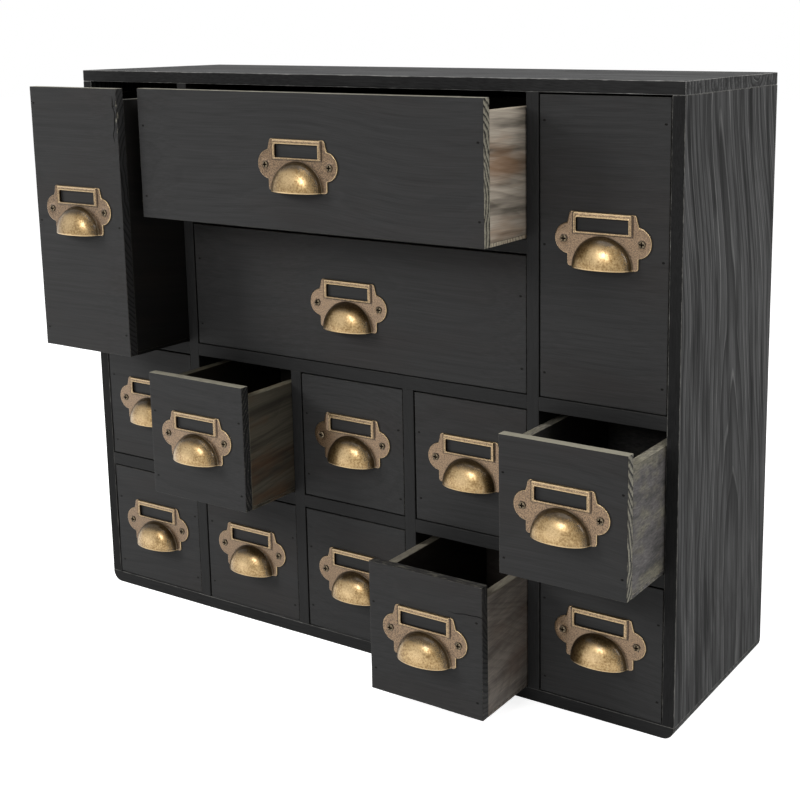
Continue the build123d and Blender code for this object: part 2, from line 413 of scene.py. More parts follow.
@dataclass(frozen=True)
class BrassFinish:
    """Cast brass, darkened in a bath and rubbed back.

    Brown patina stays in the hollows and in fine speckles, the cup is a warm gold, and the metal is bright
    where hands and polishing reach. The same dark also lays painted shade: a dark reflection over the cup's
    top and flanks, shadow rings round the screws and shade in their recesses; the same bright lays a painted
    highlight halo on the cup's front.
    """

    name: str = "antique_brass"
    plate: str = "#866E54"
    plate_dark: str = "#44372B"
    gold: str = "#AC9266"
    gold_deep: str = "#745A34"
    patina: str = "#20170D"
    bright: str = "#CBB084"
    painted_recess_shade: str = "#050403"        # painted shade at the bottom of a screw's recess
    speck_mm: float = 0.8        # patina specks are drawn somewhat coarse, so that they show
    mottle_mm: float = 1.7
    roughness: float = 0.32
    lacquer: float = 0.48        # share of a thin clear coat, which gives the cream-white lights
    lacquer_roughness: float = 0.2
    relief_mm: float = 0.05
    relief_strength: float = 0.5
    fleck_spread: float = 0.9    # how far specks and mottles carry the patina
    hollow_spread: float = 0.8   # and hollows
    patina_level: float = 1.12   # where those together start to darken
    patina_edge: float = 3.2     # how sharply
    patina_share: float = 0.85
    shine_level: float = 0.55    # where rubbing starts to brighten
    shine_break: float = 0.7     # how much the specks break that up
    shine_edge: float = 2.2
    shine_share: float = 0.9
    patina_roughness: float = 0.22
    speck_roughness: float = 0.25

    SPECK_STOPS = ((0.36, 0.0), (0.64, 1.0))
    MOTTLE_STOPS = ((0.36, 0.0), (0.66, 1.0))

    def build(self) -> bpy.types.Material:
        """Wires the material.

        Returns:
            The finished material.
        """
        material = bpy.data.materials.new(self.name)
        add = Wiring(material).add
        place = add(Node.OBJECT_PLACE)
        speck, mottle = (add(Node.NOISE, place, 1 / (size * MM), detail, rough) for size, detail, rough in (
            (self.speck_mm, 3.0, 0.7), (self.mottle_mm, 4.0, 0.6)))
        cup, rub, hollow = (add(Node.CARRIED_VALUE, attribute_name=key) for key in (CUP, RUB_AND_HIGHLIGHT, PATINA_AND_SHADE))
        speckled = add(Node.RAMP, speck, stops=self.SPECK_STOPS)
        blotched = add(Node.RAMP, mottle, stops=self.MOTTLE_STOPS)

        plate = add(Node.BLEND, speckled, linear(self.plate_dark), linear(self.plate))
        gold = add(Node.BLEND, blotched, linear(self.gold_deep), linear(self.gold))
        colour = add(Node.BLEND, cup, plate, gold)

        # Patina gathers where specks, mottles and hollows meet, and rubbing takes it off again.
        # The hollow values carry patina and also painted shade; the rub values carry wear and also a painted
        # highlight halo.
        flecks = (add(Node.MULTIPLY, noise, self.fleck_spread) for noise in (speck, mottle))
        spread = add(Node.ADD, *flecks)
        gathered = add(Node.ADD, spread, add(Node.MULTIPLY, hollow, self.hollow_spread))
        over = add(Node.SUBTRACT, gathered, self.patina_level)
        dark = add(Node.MULTIPLY, over, self.patina_edge, use_clamp=True)
        rubbed = add(Node.ADD, rub, add(Node.MULTIPLY, speck, self.shine_break))
        bared = add(Node.SUBTRACT, rubbed, self.shine_level)
        shine = add(Node.MULTIPLY, bared, self.shine_edge, use_clamp=True)
        # Past 1, the hollow values lay painted shade into a screw's cross recess.
        recess = add(Node.SUBTRACT, hollow, 1.0, use_clamp=True)
        for laid, code in ((add(Node.MULTIPLY, dark, self.patina_share), self.patina),
                           (add(Node.MULTIPLY, shine, self.shine_share), self.bright), (recess, self.painted_recess_shade)):
            colour = add(Node.BLEND, laid, colour, linear(code))

        speck_gloss = add(Node.MULTIPLY, add(Node.SUBTRACT, speck, 0.5), self.speck_roughness)
        clean_gloss = add(Node.ADD, speck_gloss, self.roughness)
        gloss = add(Node.ADD, add(Node.MULTIPLY, dark, self.patina_roughness), clean_gloss)
        bump = add(Node.BUMP, spread, self.relief_mm * MM, self.relief_strength)
        metallic = 1.0
        add(Node.MATERIAL_OUTPUT,
            add(Node.METAL, colour, gloss, bump, metallic, self.lacquer, self.lacquer_roughness))
        return material


# The wide wear along the casing's arrises, palest on the top board, is partly real wear and partly a painted
# highlight along them.
CASING_STAIN = PineFinish("black_stained_pine", early="#4A4A4A", late="#0E0E0E", line="#7E7E7D",
                          deep="#1C1C1C", warm="#1E1A17", bare="#7A7974", ring_gap_mm=5.8, ring_share=1.0,
                          line_share=0.85, end_bare=0.35, end_dark=0.9, streak_share=1.0,
                          wear_share=0.62, fibre_share=1.0, sheen_level=0.05, roughness=0.68,
                          wear_mm=1.2, taper=0.05, waver_mm=7.5,
                          waver_length_mm=(210.0, 40.0), streak_mm=(150.0, 9.0), fibre_mm=(36.0, 0.8))
BOTTOM_STAIN = replace(CASING_STAIN, name="black_stained_bottom_board", deep="#232323")
TOP_STAIN = replace(BOTTOM_STAIN, name="black_stained_top_board", early="#474747", bare="#9A9996",
                    wear_mm=1.8, wear_share=0.66)
EDGE_STAIN = PineFinish("black_stained_pine_inside", early="#1E1E1E", late="#121212", line="#2A2A2A",
                        deep="#252525", warm="#1A1614", bare="#4C4B46", ring_gap_mm=5.2, ring_share=0.7,
                        line_share=0.3, streak_share=0.6, wear_share=0.55, fibre_share=0.5,
                        sheen_level=0.07, roughness=0.58)
FRONT_STAIN = PineFinish("black_stained_front_board", early="#2F2F2F", late="#252525", line="#383838",
                         deep="#0A0A0A", warm="#2D2724", bare="#8B8779", ring_gap_mm=3.8, ring_share=0.35,
                         line_share=0.2, end_bare=0.9, end_dark=0.8, streak_share=0.1, warm_share=0.2,
                         wear_share=0.45, fibre_share=0.45, fibre_mm=(90.0, 0.7), relief_mm=0.05,
                         streak_mm=(210.0, 4.0), patch_mm=(190.0, 60.0), sheen_level=0.06, roughness=0.52)
# Near black: partly the drawer's dark wash, partly painted shade for the tall left drawer's side in the wide
# upper drawer's shadow.
BLACK_WASH_AND_SHADE = PineFinish("black_wash_and_painted_shade_board", early="#0E0D0C", late="#080808", line="#1A1816",
                        deep="#060606", warm="#17110D", bare="#5E5B50", ring_gap_mm=4.6, ring_share=0.6,
                        streak_share=0.6, warm_share=0.3, wear_share=0.5, fibre_share=0.35, roughness=0.62,
                        sheen_level=0.12)
UMBER_WASH = PineFinish("umber_washed_drawer_board", early="#6B645D", late="#453F3A", line="#7C736A",
                        deep="#221E1B", warm="#4A3A30", bare="#7E7A6A", ring_gap_mm=4.4, ring_share=0.5,
                        streak_share=0.5, warm_share=0.5, wear_share=0.6, fibre_share=0.6, roughness=0.62,
                        sheen_level=0.2, streak_mm=(60.0, 9.0), fibre_mm=(26.0, 1.2), taper=0.45)
GREIGE_WASH = PineFinish("greige_washed_drawer_board", early="#A79D8F", late="#665E54", line="#C4B9A6",
                         deep="#211D18", warm="#7B5A3D", bare="#A79D89", ring_gap_mm=3.4, ring_share=0.6,
                         streak_share=0.75, warm_share=0.7, wear_share=0.5, fibre_share=0.4,
                         roughness=0.65, taper=0.05, patch_mm=(110.0, 26.0), streak_mm=(110.0, 12.0),
                         sheen_level=0.15)
OLIVE_WASH = PineFinish("olive_washed_drawer_board", early="#4C483E", late="#2B2822", line="#565246",
                        deep="#181612", warm="#523B28", bare="#716E5E", ring_gap_mm=4.0, ring_share=0.6,
                        streak_share=0.7, warm_share=0.65, wear_share=0.7, fibre_share=0.5, roughness=0.62,
                        sheen_level=0.2)
LILAC_WASH = PineFinish("grey_lilac_washed_drawer_board", early="#53504F", late="#3A3839", line="#605D59",
                        deep="#252423", warm="#6A6655", bare="#8F8A7A", ring_gap_mm=5.5, ring_share=0.4,
                        line_share=0.2, streak_share=0.75, warm_share=0.6, wear_share=0.7, fibre_share=1.5,
                        roughness=0.65, taper=0.05, fibre_mm=(5.0, 1.4), streak_mm=(34.0, 9.0),
                        patch_mm=(30.0, 16.0), sheen_level=0.2)


# ---------------------------------------------------------------- boards
@dataclass(frozen=True)
class Cut:
    """Where in the log a board was sawn from.

    Attributes:
        heart: the log's heart, from the board's middle, in millimetres along its two cross axes.
        start: how far along the log the board's middle lies, in millimetres; it also picks its marks.
        bends: places along the board, from its middle, with the heart's shift there along the two cross axes.
    """

    heart: tuple[float, float] = (0.0, 60.0)
    start: float = 0.0
    bends: tuple[tuple[float, float, float], ...] = ((0.0, 0.0, 0.0),)

    def heart_at(self, along: np.ndarray) -> np.ndarray:
        """The heart beside each place along the board, its bends joined by half waves.

        Args:
            along: places from the board's middle, in millimetres.

        Returns:
            The heart's two cross places, one row a place.
        """
        bends = np.array(self.bends)
        after = np.clip(np.searchsorted(bends[:, 0], along), 1, max(len(bends) - 1, 1)) % len(bends)
        before = np.maximum(after - 1, 0)
        run = np.maximum(bends[after, 0] - bends[before, 0], 1e-9)
        share = np.clip((along - bends[before, 0]) / run, 0, 1)
        share = (0.5 - 0.5 * np.cos(math.pi * share))[:, None]
        shift = bends[before, 1:] * (1 - share) + bends[after, 1:] * share
        return np.array(self.heart) + shift


def seeded_cut(name: str, flat: bool = True) -> Cut:
    """A likely cut for a board, picked by its name.

    Args:
        name: the board's name.
        flat: whether the heart lies beside the board's broad face, which gives arched figures.

    Returns:
        The cut.
    """
    random = np.random.default_rng(sum(ord(letter) * (place + 7) for place, letter in enumerate(name)))
    side = random.uniform(-60, 60)
    depth = random.uniform(35, 90) * random.choice([-1, 1])
    bends = tuple((place, *random.uniform(-7, 7, 2)) for place in (-240.0, -120.0, 0.0, 120.0, 240.0))
    return Cut((side, depth) if flat else (depth, side), random.uniform(0, 9000), bends)


@dataclass
class Board:
    """One sawn board, closed all round, with eased edges that vary along their length.

    Attributes:
        low: its lowest corner.
        high: its highest corner.
        along: the way of its grain.
        cut: where in the log it lay.
        ease: largest radius of an eased edge.
        bare: how bare of stain some of its sides are, on some fronts' top edges also a painted highlight.
        soak: how much of the deepest stain some of its sides took.
        line_gap: between the lines of the mesh.
        hollow: depth of the planing hollows, always inwards.
        carve: moves the eased points once more, given them and the points before easing.
        split_shows: whether carved places show painted shade in their splits and fresh wood in their bites.
        extra_lines: further lines of the mesh on an axis.
    """

    name: str
    low: np.ndarray
    high: np.ndarray
    along: Along
    finish: bpy.types.Material
    cut: Cut
    ease: float = 0.6 * MM
    bare: dict[Side, float] = field(default_factory=dict)
    soak: dict[Side, float] = field(default_factory=dict)
    line_gap: float = 18 * MM
    hollow: float = 0.12 * MM
    carve: Callable[[np.ndarray, np.ndarray], np.ndarray] | None = None
    split_shows: bool = False
    extra_lines: dict[int, np.ndarray] = field(default_factory=dict)

    SUPPORT = 2.6                                # first inner line, in edge radii
    LONGEST_SUPPORT = 0.45                       # and at most this share of the board
    ON_SIDE = 1e-7                               # a point this near a side lies on it
    LEAST_EASE = 0.35                            # an edge's smallest radius, as a share of its largest
    EASE_WAVES = (0.19, 0.047, 0.023)            # lengths over which edges and hollows differ, in metres
    HOLLOW_WAVES = (0.31, 0.12, 0.07)
    HOLLOW_FADE = 9 * MM                         # hollows fade out this near an edge
    SPLIT_SHADE = (1.6, 4.0)                      # painted shade in a split: soak a mm of split, less this a mm of bite
    BITE_BARE = (1.2, 0.35, 0.5)                 # bareness a mm of bite, where it starts, and its most

    def stations(self, axis: int) -> np.ndarray:
        """Places of the mesh's lines on one axis: an eased edge, a support line, even steps and back.

        Args:
            axis: which axis.

        Returns:
            The places, from the lowest to the highest.
        """
        length = self.high[axis] - self.low[axis]
        ease, half_turn = self.ease, math.tan(math.radians(22.5))
        support = min(self.SUPPORT * ease, length * self.LONGEST_SUPPORT)
        start = np.array([0, ease * (1 - half_turn), ease, support])
        inner = length - 2 * start[-1]
        steps = max(1, round(inner / self.line_gap))
        middle = start[-1] + inner * np.arange(1, steps) / steps
        places = np.concatenate([start, middle, length - start[::-1]]) + self.low[axis]
        if axis in self.extra_lines:
            places = np.unique(np.round(np.concatenate([places, self.extra_lines[axis]]), 6))
        return places

    def skin(self) -> tuple[np.ndarray, np.ndarray]:
        """Lattice of the board's six sides, each point once.

        Returns:
            The points on the square board, and the quads, all facing outwards.
        """
        lines = [self.stations(axis) for axis in range(3)]
        counts = [len(line) for line in lines]
        quads = []
        for axis in range(3):
            u, v = (axis + 1) % 3, (axis + 2) % 3
            first, second = np.meshgrid(np.arange(counts[u]), np.arange(counts[v]), indexing="ij")
            for end in (0, counts[axis] - 1):
                step = np.zeros(first.shape + (3,), int)
                step[..., axis], step[..., u], step[..., v] = end, first, second
                key = (step[..., 0] * counts[1] + step[..., 1]) * counts[2] + step[..., 2]
                around = [key[:-1, :-1], key[1:, :-1], key[1:, 1:], key[:-1, 1:]]
                quad = np.stack(around, -1).reshape(-1, 4)
                quads.append(quad if end else quad[:, ::-1])
        keys, numbers = np.unique(np.concatenate(quads), return_inverse=True)
        steps = [keys // (counts[1] * counts[2]), keys // counts[2] % counts[1], keys % counts[2]]
        points = np.stack([line[step] for line, step in zip(lines, steps)], 1)
        return points, numbers.reshape(-1, 4)

    def shape(self, square: np.ndarray, edge: np.ndarray) -> np.ndarray:
        """Eases the edges and hollows the faces.

        An edge point goes from the square corner onto an arc whose radius wanders along the edge between its
        least and its largest. A face point moves inwards by the planing hollows.

        Args:
            square: points on the square board.
            edge: distance of each to the nearest edge.

        Returns:
            The points on the real board.
        """
        inner = np.clip(square, self.low + self.ease, self.high - self.ease)
        out = square - inner
        turn = out / np.maximum(np.linalg.norm(out, axis=1, keepdims=True), 1e-12)
        corner = np.sign(np.round(out, 9))
        seed = len(self.name) + ord(self.name[0])
        share = self.LEAST_EASE + (1 - self.LEAST_EASE) * waves(square, seed, self.EASE_WAVES) ** 2
        radius = self.ease * share[:, None]
        shaped = inner + (self.ease - radius) * corner + radius * turn
        fade = np.clip(edge / self.HOLLOW_FADE, 0, 1)
        dip = self.hollow * waves(square, seed + 1, self.HOLLOW_WAVES) * fade
        return shaped - turn * dip[:, None]

    def place_in_log(self, points: np.ndarray) -> np.ndarray:
        """Where each point lay in the log.

        Args:
            points: points on the square board.

        Returns:
            Millimetres along the grain, then the two ways across, one row a point.
        """
        centre = (self.low + self.high) / 2
        local = (points - centre)[:, list(self.along.value)] / MM
        across = local[:, 1:] - self.cut.heart_at(local[:, 0])
        return np.concatenate([local[:, :1] + self.cut.start, across], 1)

    def on_sides(self, square: np.ndarray, shares: dict[Side, float]) -> np.ndarray:
        """A value for each point: its side's share, or the highest of them on an edge.

        Args:
            square: points on the square board.
            shares: the value on some of the sides; it is 0 on the others.

        Returns:
            One number a point.
        """
        value = np.zeros(len(square))
        for side, share in shares.items():
            axis, direction = side.value
            limit = self.high[axis] if direction > 0 else self.low[axis]
            value = np.where(np.abs(square[:, axis] - limit) < self.ON_SIDE, np.maximum(value, share), value)
        return value

    def surface(self) -> Surface:
        """Shapes the board.

        Returns:
            Its mesh, with the values that its finish reads.
        """
        square, quads = self.skin()
        to_side = np.minimum(square - self.low, self.high - square)
        edge = np.sort(to_side, axis=1)[:, 1]
        points = self.shape(square, edge)
        bare, soak = self.on_sides(square, self.bare), self.on_sides(square, self.soak)
        if self.carve:
            carved = self.carve(points, square)
            if self.split_shows:
                # A split is painted dark as shade through the soak values; a bite shows pale fresh wood.
                moved = np.abs(carved - points) / MM
                (split, bite), (fresh, start, most) = self.SPLIT_SHADE, self.BITE_BARE
                soak = np.maximum(soak, np.clip(split * moved[:, 1] - bite * moved[:, 0], 0, 1))
                bare = np.maximum(bare, np.clip(fresh * moved[:, 0] - start, 0, most))
            points = carved
        end = (to_side[:, self.along.value[0]] < self.ON_SIDE).astype(float)
        values = {GRAIN: self.place_in_log(square), EDGE: edge / MM, END: end,
                  BARE_AND_HIGHLIGHT: bare, SOAK_AND_SPLIT_SHADE: soak}
        return Surface(points, quads.tolist(), values)

    def make(self, body: str, slot: str) -> bpy.types.Object:
        """Builds the piece on its body.

        Args:
            body: the CAD body it moves with.
            slot: the record's material slot; not used.

        Returns:
            The piece.
        """
        piece = self.surface().to_object(self.name, self.finish)
        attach(piece, body)
        log.info("board %s on %s", self.name, body)
        return piece


def corners_of(node: str) -> tuple[np.ndarray, np.ndarray]:
    """Lowest and highest corner of a CAD node, as arrays."""
    low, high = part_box(node)
    return np.array(low), np.array(high)


@dataclass
class Casing:
    """The fixed boards: an outer case, partitions, shelves and a back panel."""

    finish: bpy.types.Material
    top_finish: bpy.types.Material
    bottom_finish: bpy.types.Material
    inner_finish: bpy.types.Material
    body: str = "casing"
    slot: str = "casing_black_wood"
    corner_radius: float = 10 * MM               # long lower corners of the bottom board
    corner_steps: int = 6                        # lines of the mesh round each
    top_ease: float = 1.5 * MM
    shown_soak: float = 1.0                      # how evenly black the front edges of shown boards are
    inner_soak: float = 0.85                     # and of the others
    shown_gap: float = 9 * MM                    # between the mesh's lines on shown boards
    inner_gap: float = 20 * MM                   # and on the others
    shown_cuts: dict[str, Cut] = field(default_factory=lambda: {
        "right_side": Cut((0.0, -24.0), 3120.0, (
            (-250.0, 22.0, -4.0), (-100.0, 14.0, 2.0), (60.0, 4.0, 0.0), (250.0, -28.0, 4.0))),
        "left_side": Cut((10.0, 30.0), 6240.0, ((-240.0, -10.0, 3.0), (0.0, 4.0, 0.0), (240.0, 12.0, 0.0))),
        "top_board": Cut((46.0, 8.0), 1450.0, (
            (-300.0, -55.0, 12.0), (0.0, -20.0, 16.0), (300.0, 0.0, 0.0))),
        "bottom_board": Cut((-30.0, -40.0), 5200.0),
    })

    def round_lower_corners(self, points: np.ndarray, square: np.ndarray) -> np.ndarray:
        """Rounds the bottom board's two long lower corners.

        In a corner's square, a place (a, b) in shares of the radius goes to
        (a sqrt(1 - b²/2), b sqrt(1 - a²/2)), which bends the square's outer sides onto a quarter circle.

        Args:
            points: the eased board.
            square: the same points before easing; not used.

        Returns:
            The rounded board.
        """
        rounded = points.copy()
        low, high = corners_of("bottom_board")
        level = low[2] + self.corner_radius
        b = np.clip((level - points[:, 2]) / self.corner_radius, 0, 1)
        for wall, inward in ((low[0], 1), (high[0], -1)):
            middle = wall + inward * self.corner_radius
            a = np.clip((middle - points[:, 0]) * inward / self.corner_radius, 0, 1)
            inside = (a > 0) & (b > 0)
            new_a = a * np.sqrt(1 - b ** 2 / 2)
            new_b = b * np.sqrt(1 - a ** 2 / 2)
            rounded[:, 0] = np.where(inside, middle - inward * new_a * self.corner_radius, rounded[:, 0])
            rounded[:, 2] = np.where(inside, level - new_b * self.corner_radius, rounded[:, 2])
        return rounded

    def along_of(self, node: str) -> Along:
        """Which way a casing board's grain runs."""
        return Along.Z if "side" in node or "partition" in node else Along.X

    def build(self) -> None:
        """Makes every board of the casing in place of its CAD node."""
        for node in frame["record"]["behaviour"]["bodies"][self.body]:
            low, high = corners_of(node)
            shown = self.shown_cuts.get(node)
            board = Board(node + "_piece", low, high, self.along_of(node),
                          self.finish if shown else self.inner_finish, shown or seeded_cut(node),
                          soak={Side.FRONT: self.shown_soak if shown else self.inner_soak},
                          line_gap=self.shown_gap if shown else self.inner_gap)
            if node == "top_board":
                board.ease, board.finish = self.top_ease, self.top_finish
            if node == "bottom_board":
                board.finish = self.bottom_finish
                steps = np.linspace(0, 1, self.corner_steps + 1)[1:] * self.corner_radius
                board.extra_lines = {0: np.concatenate([low[0] + steps, high[0] - steps]), 2: low[2] + steps}
                board.carve = self.round_lower_corners
            piece = board.make(self.body, self.slot)
            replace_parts(piece, node)


# ---------------------------------------------------------------- label pulls
def arc(centre: tuple[float, float], radius: float, start: float, stop: float, steps: int) -> np.ndarray:
    """Points on a circle from one angle to another, in degrees, both ends in."""
    turn = np.radians(np.linspace(start, stop, steps))
    return np.stack([centre[0] + radius * np.cos(turn), centre[1] + radius * np.sin(turn)], 1)


def even_steps(path: np.ndarray, gap: float) -> np.ndarray:
    """The closed path walked again in even steps, each a straight share of its whole length.

    Args:
        path: corner points, first not repeated.
        gap: about how long a step is.

    Returns:
        The new points.
    """
    closed = np.concatenate([path, path[:1]])
    walked = np.concatenate([[0], np.cumsum(np.linalg.norm(np.diff(closed, axis=0), axis=1))])
    places = np.linspace(0, walked[-1], round(walked[-1] / gap), endpoint=False)
    return np.stack([np.interp(places, walked, closed[:, axis]) for axis in (0, 1)], 1)


def distance_to(points: np.ndarray, loop: np.ndarray) -> np.ndarray:
    """Shortest distance of each point to a closed loop of straight steps.

    Args:
        points: places in the plane.
        loop: the loop's corners.

    Returns:
        One distance a point.
    """
    start, run = loop[None], (np.roll(loop, -1, 0) - loop)[None]
    offset = points[:, None] - start
    share = np.clip((offset * run).sum(-1) / np.maximum((run ** 2).sum(-1), 1e-12), 0, 1)
    return np.linalg.norm(offset - share[..., None] * run, axis=-1).min(1)


def bell(distance: np.ndarray, width: float) -> np.ndarray:
    """A bell curve: e to the power of minus the square of distance over width."""
    return np.exp(-(distance / width) ** 2)


def is_inside(points: np.ndarray, loop: np.ndarray) -> np.ndarray:
    """Whether each point lies in a closed loop: a ray to the right crosses it an odd number of times.

    Args:
        points: places in the plane.
        loop: the loop's corners.

    Returns:
        True or false, one a point.
    """
    x, y = points[:, 0][:, None], points[:, 1][:, None]
    ax, ay = loop[:, 0][None], loop[:, 1][None]
    bx, by = np.roll(loop[:, 0], -1)[None], np.roll(loop[:, 1], -1)[None]
    spans = (ay > y) != (by > y)
    crossing = ax + (y - ay) * (bx - ax) / np.where(by == ay, 1e-12, by - ay)
    return (spans & (x < crossing)).sum(1) % 2 == 1


@dataclass(frozen=True)
class LabelPull:
    """Brass pull in one casting: a plate with round ears, a raised frame for a label and a finger cup.

    X is across, Y is up from the line through the screws and Z is out from the drawer's face, in millimetres.
    """

    thickness: float = 1.2
    top: float = 20.8
    bottom: float = -20.2
    top_half: float = 27.7
    neck_half: float = 29.5
    corner: float = 2.4
    ear_radius: float = 11.6
    ear_offset: float = 28.0
    ear_height: float = 0.5
    window_half: float = 21.5
    window_low: float = 6.3
    window_high: float = 16.6
    window_corner: float = 0.6
    rim: float = 2.2
    rim_rise: float = 1.4
    rim_groove: float = 0.55
    rim_foot: float = 1.4        # width of the frame's lowest strip
    cup_half: float = 24.4       # the cup's foot on the plate, across and up
    cup_rise: float = 23.0
    cup_depth: float = 14.2
    cup_power: float = 0.42      # 0.5 would be an ellipse, less is squarer
    cup_wall: float = 1.1
    cup_flare: float = 0.5       # rounding where the cup meets the plate
    screw_half_gap: float = 32.0
    screw_hole: float = 1.4
    edge_round: float = 0.5
    step: float = 0.75           # between points of an outline
    mesh_gap: float = 1.5        # between points of the flat
    beside_depth: float = 0.45   # the groove beside the frame: depth, distance from it and width
    beside_place: float = 0.8
    beside_width: float = 0.5
    dish_depth: float = 0.25     # the dish round a screw: depth, radius and width of its dip
    dish_radius: float = 2.2
    dish_width: float = 1.3
    least_ridge: float = 0.4     # the frame never falls below this above the plate

    EDGE_RUB = (0.4, 0.85)                       # rubbed bright: the outline's reach and strength
    CREST_RUB = 0.62                             # the frame's crest
    THUMB_RUB_AND_HIGHLIGHT = (0.45, 0.42, 0.5)                # rubbed bright on the cup's front, with a painted highlight halo round the lamp's highlight: height, reach and strength
    LIP_RUB = (0.25, 0.5)                        # the cup's lip: reach and strength
    BESIDE_DARK = (0.8, 0.55)                    # patina: beside the frame, distance and width
    AROUND_DARK = (1.1, 0.8)                     # round the cup's foot: reach and strength
    SCREW_SHADOW_RING = (2.7, 0.6)                      # painted shadow ring round a screw's head: radius and width
    GROOVE_DARK = 0.25                           # in the frame's groove
    CROWN_PAINTED_REFLECTION = (0.6, 0.32, 0.95)               # painted dark reflection of the room above over the cup's top, with some patina by its foot: start, spread and strength
    # on the cup's flanks towards its foot: partly patina, partly a painted darker reflection; start, spread
    # and strength
    FLANK_PATINA_AND_REFLECTION = (0.72, 0.28, 0.7)
    CORNER_DARK = (0.22, 0.5, 0.35)              # in the cup's lower corners: height, reach and strength
    CUP_DARK = (0.06, 0.9)                       # at least this outside, and this inside
    RIDGE_EDGE = 0.1                             # the frame's colour reaches this far past it
    INNER_FOOT = 0.05                            # the cup's inner face stops this far above the wood
    LOOP_INSETS = (0.15, 0.32, 0.52, 0.9)        # rows of points beside each loop
    FRAME_ROWS = (0.25, 0.55, 0.8, 1.1, 1.4, 1.65, 1.95, 2.15, 2.3, 2.6, 3.0, 3.5)    # out from the window
    SCATTER_HALF = 40                            # half the width that the even scatter covers
    LEAST_TO_LOOP = 0.12                         # scattered points keep this far from a loop
    LEAST_GAP = 0.22                             # and about this far from each other

    def outline(self) -> np.ndarray:
        """The plate's outer edge: from the cup's right foot round to its left foot, then over its arch.

        Returns:
            Even steps along the edge, against the clock.
        """
        low_half = self.neck_half - 0.3
        turn_low = math.degrees(math.acos((low_half - self.ear_offset) / self.ear_radius))
        turn_high = math.degrees(math.acos((self.neck_half - 0.1 - self.ear_offset) / self.ear_radius))
        foot = np.array([self.cup_half, self.cup_rise]) - self.cup_wall / 2
        right = np.concatenate([
            [[foot[0], self.bottom]],
            arc((low_half - self.corner, self.bottom + self.corner), self.corner, -90, 0, 7),
            arc((self.ear_offset, self.ear_height), self.ear_radius, -turn_low, turn_high, 40),
            self.neck(),
            arc((self.top_half - self.corner, self.top - self.corner), self.corner, 0, 90, 7),
        ])
        left = right[::-1] * [-1, 1]
        arch = arc((0, 0), 1.0, 180, 0, 60)[1:-1] * foot + [0, self.bottom]
        return even_steps(np.concatenate([right, left, arch]), self.step)

    def neck(self) -> np.ndarray:
        """The neck's right side: from the ear up to the corner, drawn in a little in a shallow curve.

        Returns:
            Points along it.
        """
        low = self.ear_height + self.ear_radius + 0.2
        share = np.linspace(0.1, 1, 6)
        run = self.neck_half - self.top_half
        x = self.neck_half - run * share ** 0.8
        return np.stack([x, low + (self.top - self.corner - low) * share], 1)

    def holes(self) -> list[np.ndarray]:
        """Loops of the openings.

        Returns:
            The label window's, then the two screw holes'.
        """
        radius = self.window_corner
        right, left = self.window_half - radius, radius - self.window_half
        low, high = self.window_low + radius, self.window_high - radius
        middles = (((right, low), -90), ((right, high), 0), ((left, high), 90), ((left, low), 180))
        window = np.concatenate([arc(middle, radius, start, start + 90, 4) for middle, start in middles])
        screws = [arc((side * self.screw_half_gap, 0), self.screw_hole, 0, 345, 24) for side in (-1, 1)]
        return [even_steps(window, self.step)] + screws

    def frame_place(self, points: np.ndarray) -> np.ndarray:
        """How far out from the window each place is in the raised frame.

        Args:
            points: places in the plate's plane.

        Returns:
            The distance from the window's edge, with each strip's width drawn out or in to the side's.
        """
        to_side = np.abs(points[:, 0]) - self.window_half
        to_foot = (self.window_low - points[:, 1]) * self.rim / self.rim_foot
        to_top = (points[:, 1] - self.window_high) * self.rim / (self.top - self.window_high)
        return np.maximum(np.maximum(to_side, to_foot), to_top)

    def height(self, points: np.ndarray, to_edge: np.ndarray) -> np.ndarray:
        """Height of the plate's face.

        The frame is a flat ridge with rounded shoulders and a cosine groove along its middle; beside it a
        shallow groove runs down; the outer edge is a quarter circle; each screw stands in a shallow dish.

        Args:
            points: places in the plate's plane.
            to_edge: distance of each to the outline.

        Returns:
            One height a point.
        """
        place = self.frame_place(points)
        middle = self.rim / 2
        shoulder = np.clip(1 - (np.abs(place - middle) / middle) ** 6, 0, 1) ** 0.5
        groove = self.rim_groove * np.clip(np.cos((place - middle) / middle * math.pi * 0.75), 0, 1)
        ridge = self.rim_rise * shoulder - groove
        in_frame = (place >= -1e-6) & (place < self.rim)
        beside = self.beside_depth * bell(place - self.rim - self.beside_place, self.beside_width)
        beside = beside * (points[:, 1] > self.window_low - 1)
        to_screw = np.hypot(np.abs(points[:, 0]) - self.screw_half_gap, points[:, 1])
        dish = self.dish_depth * bell(to_screw - self.dish_radius, self.dish_width)
        depth = np.clip(self.edge_round - to_edge, 0, self.edge_round)
        rounding = self.edge_round - np.sqrt(self.edge_round ** 2 - depth ** 2)
        raised = np.where(in_frame, np.maximum(ridge, self.least_ridge), -beside)
        return self.thickness + raised - dish - rounding

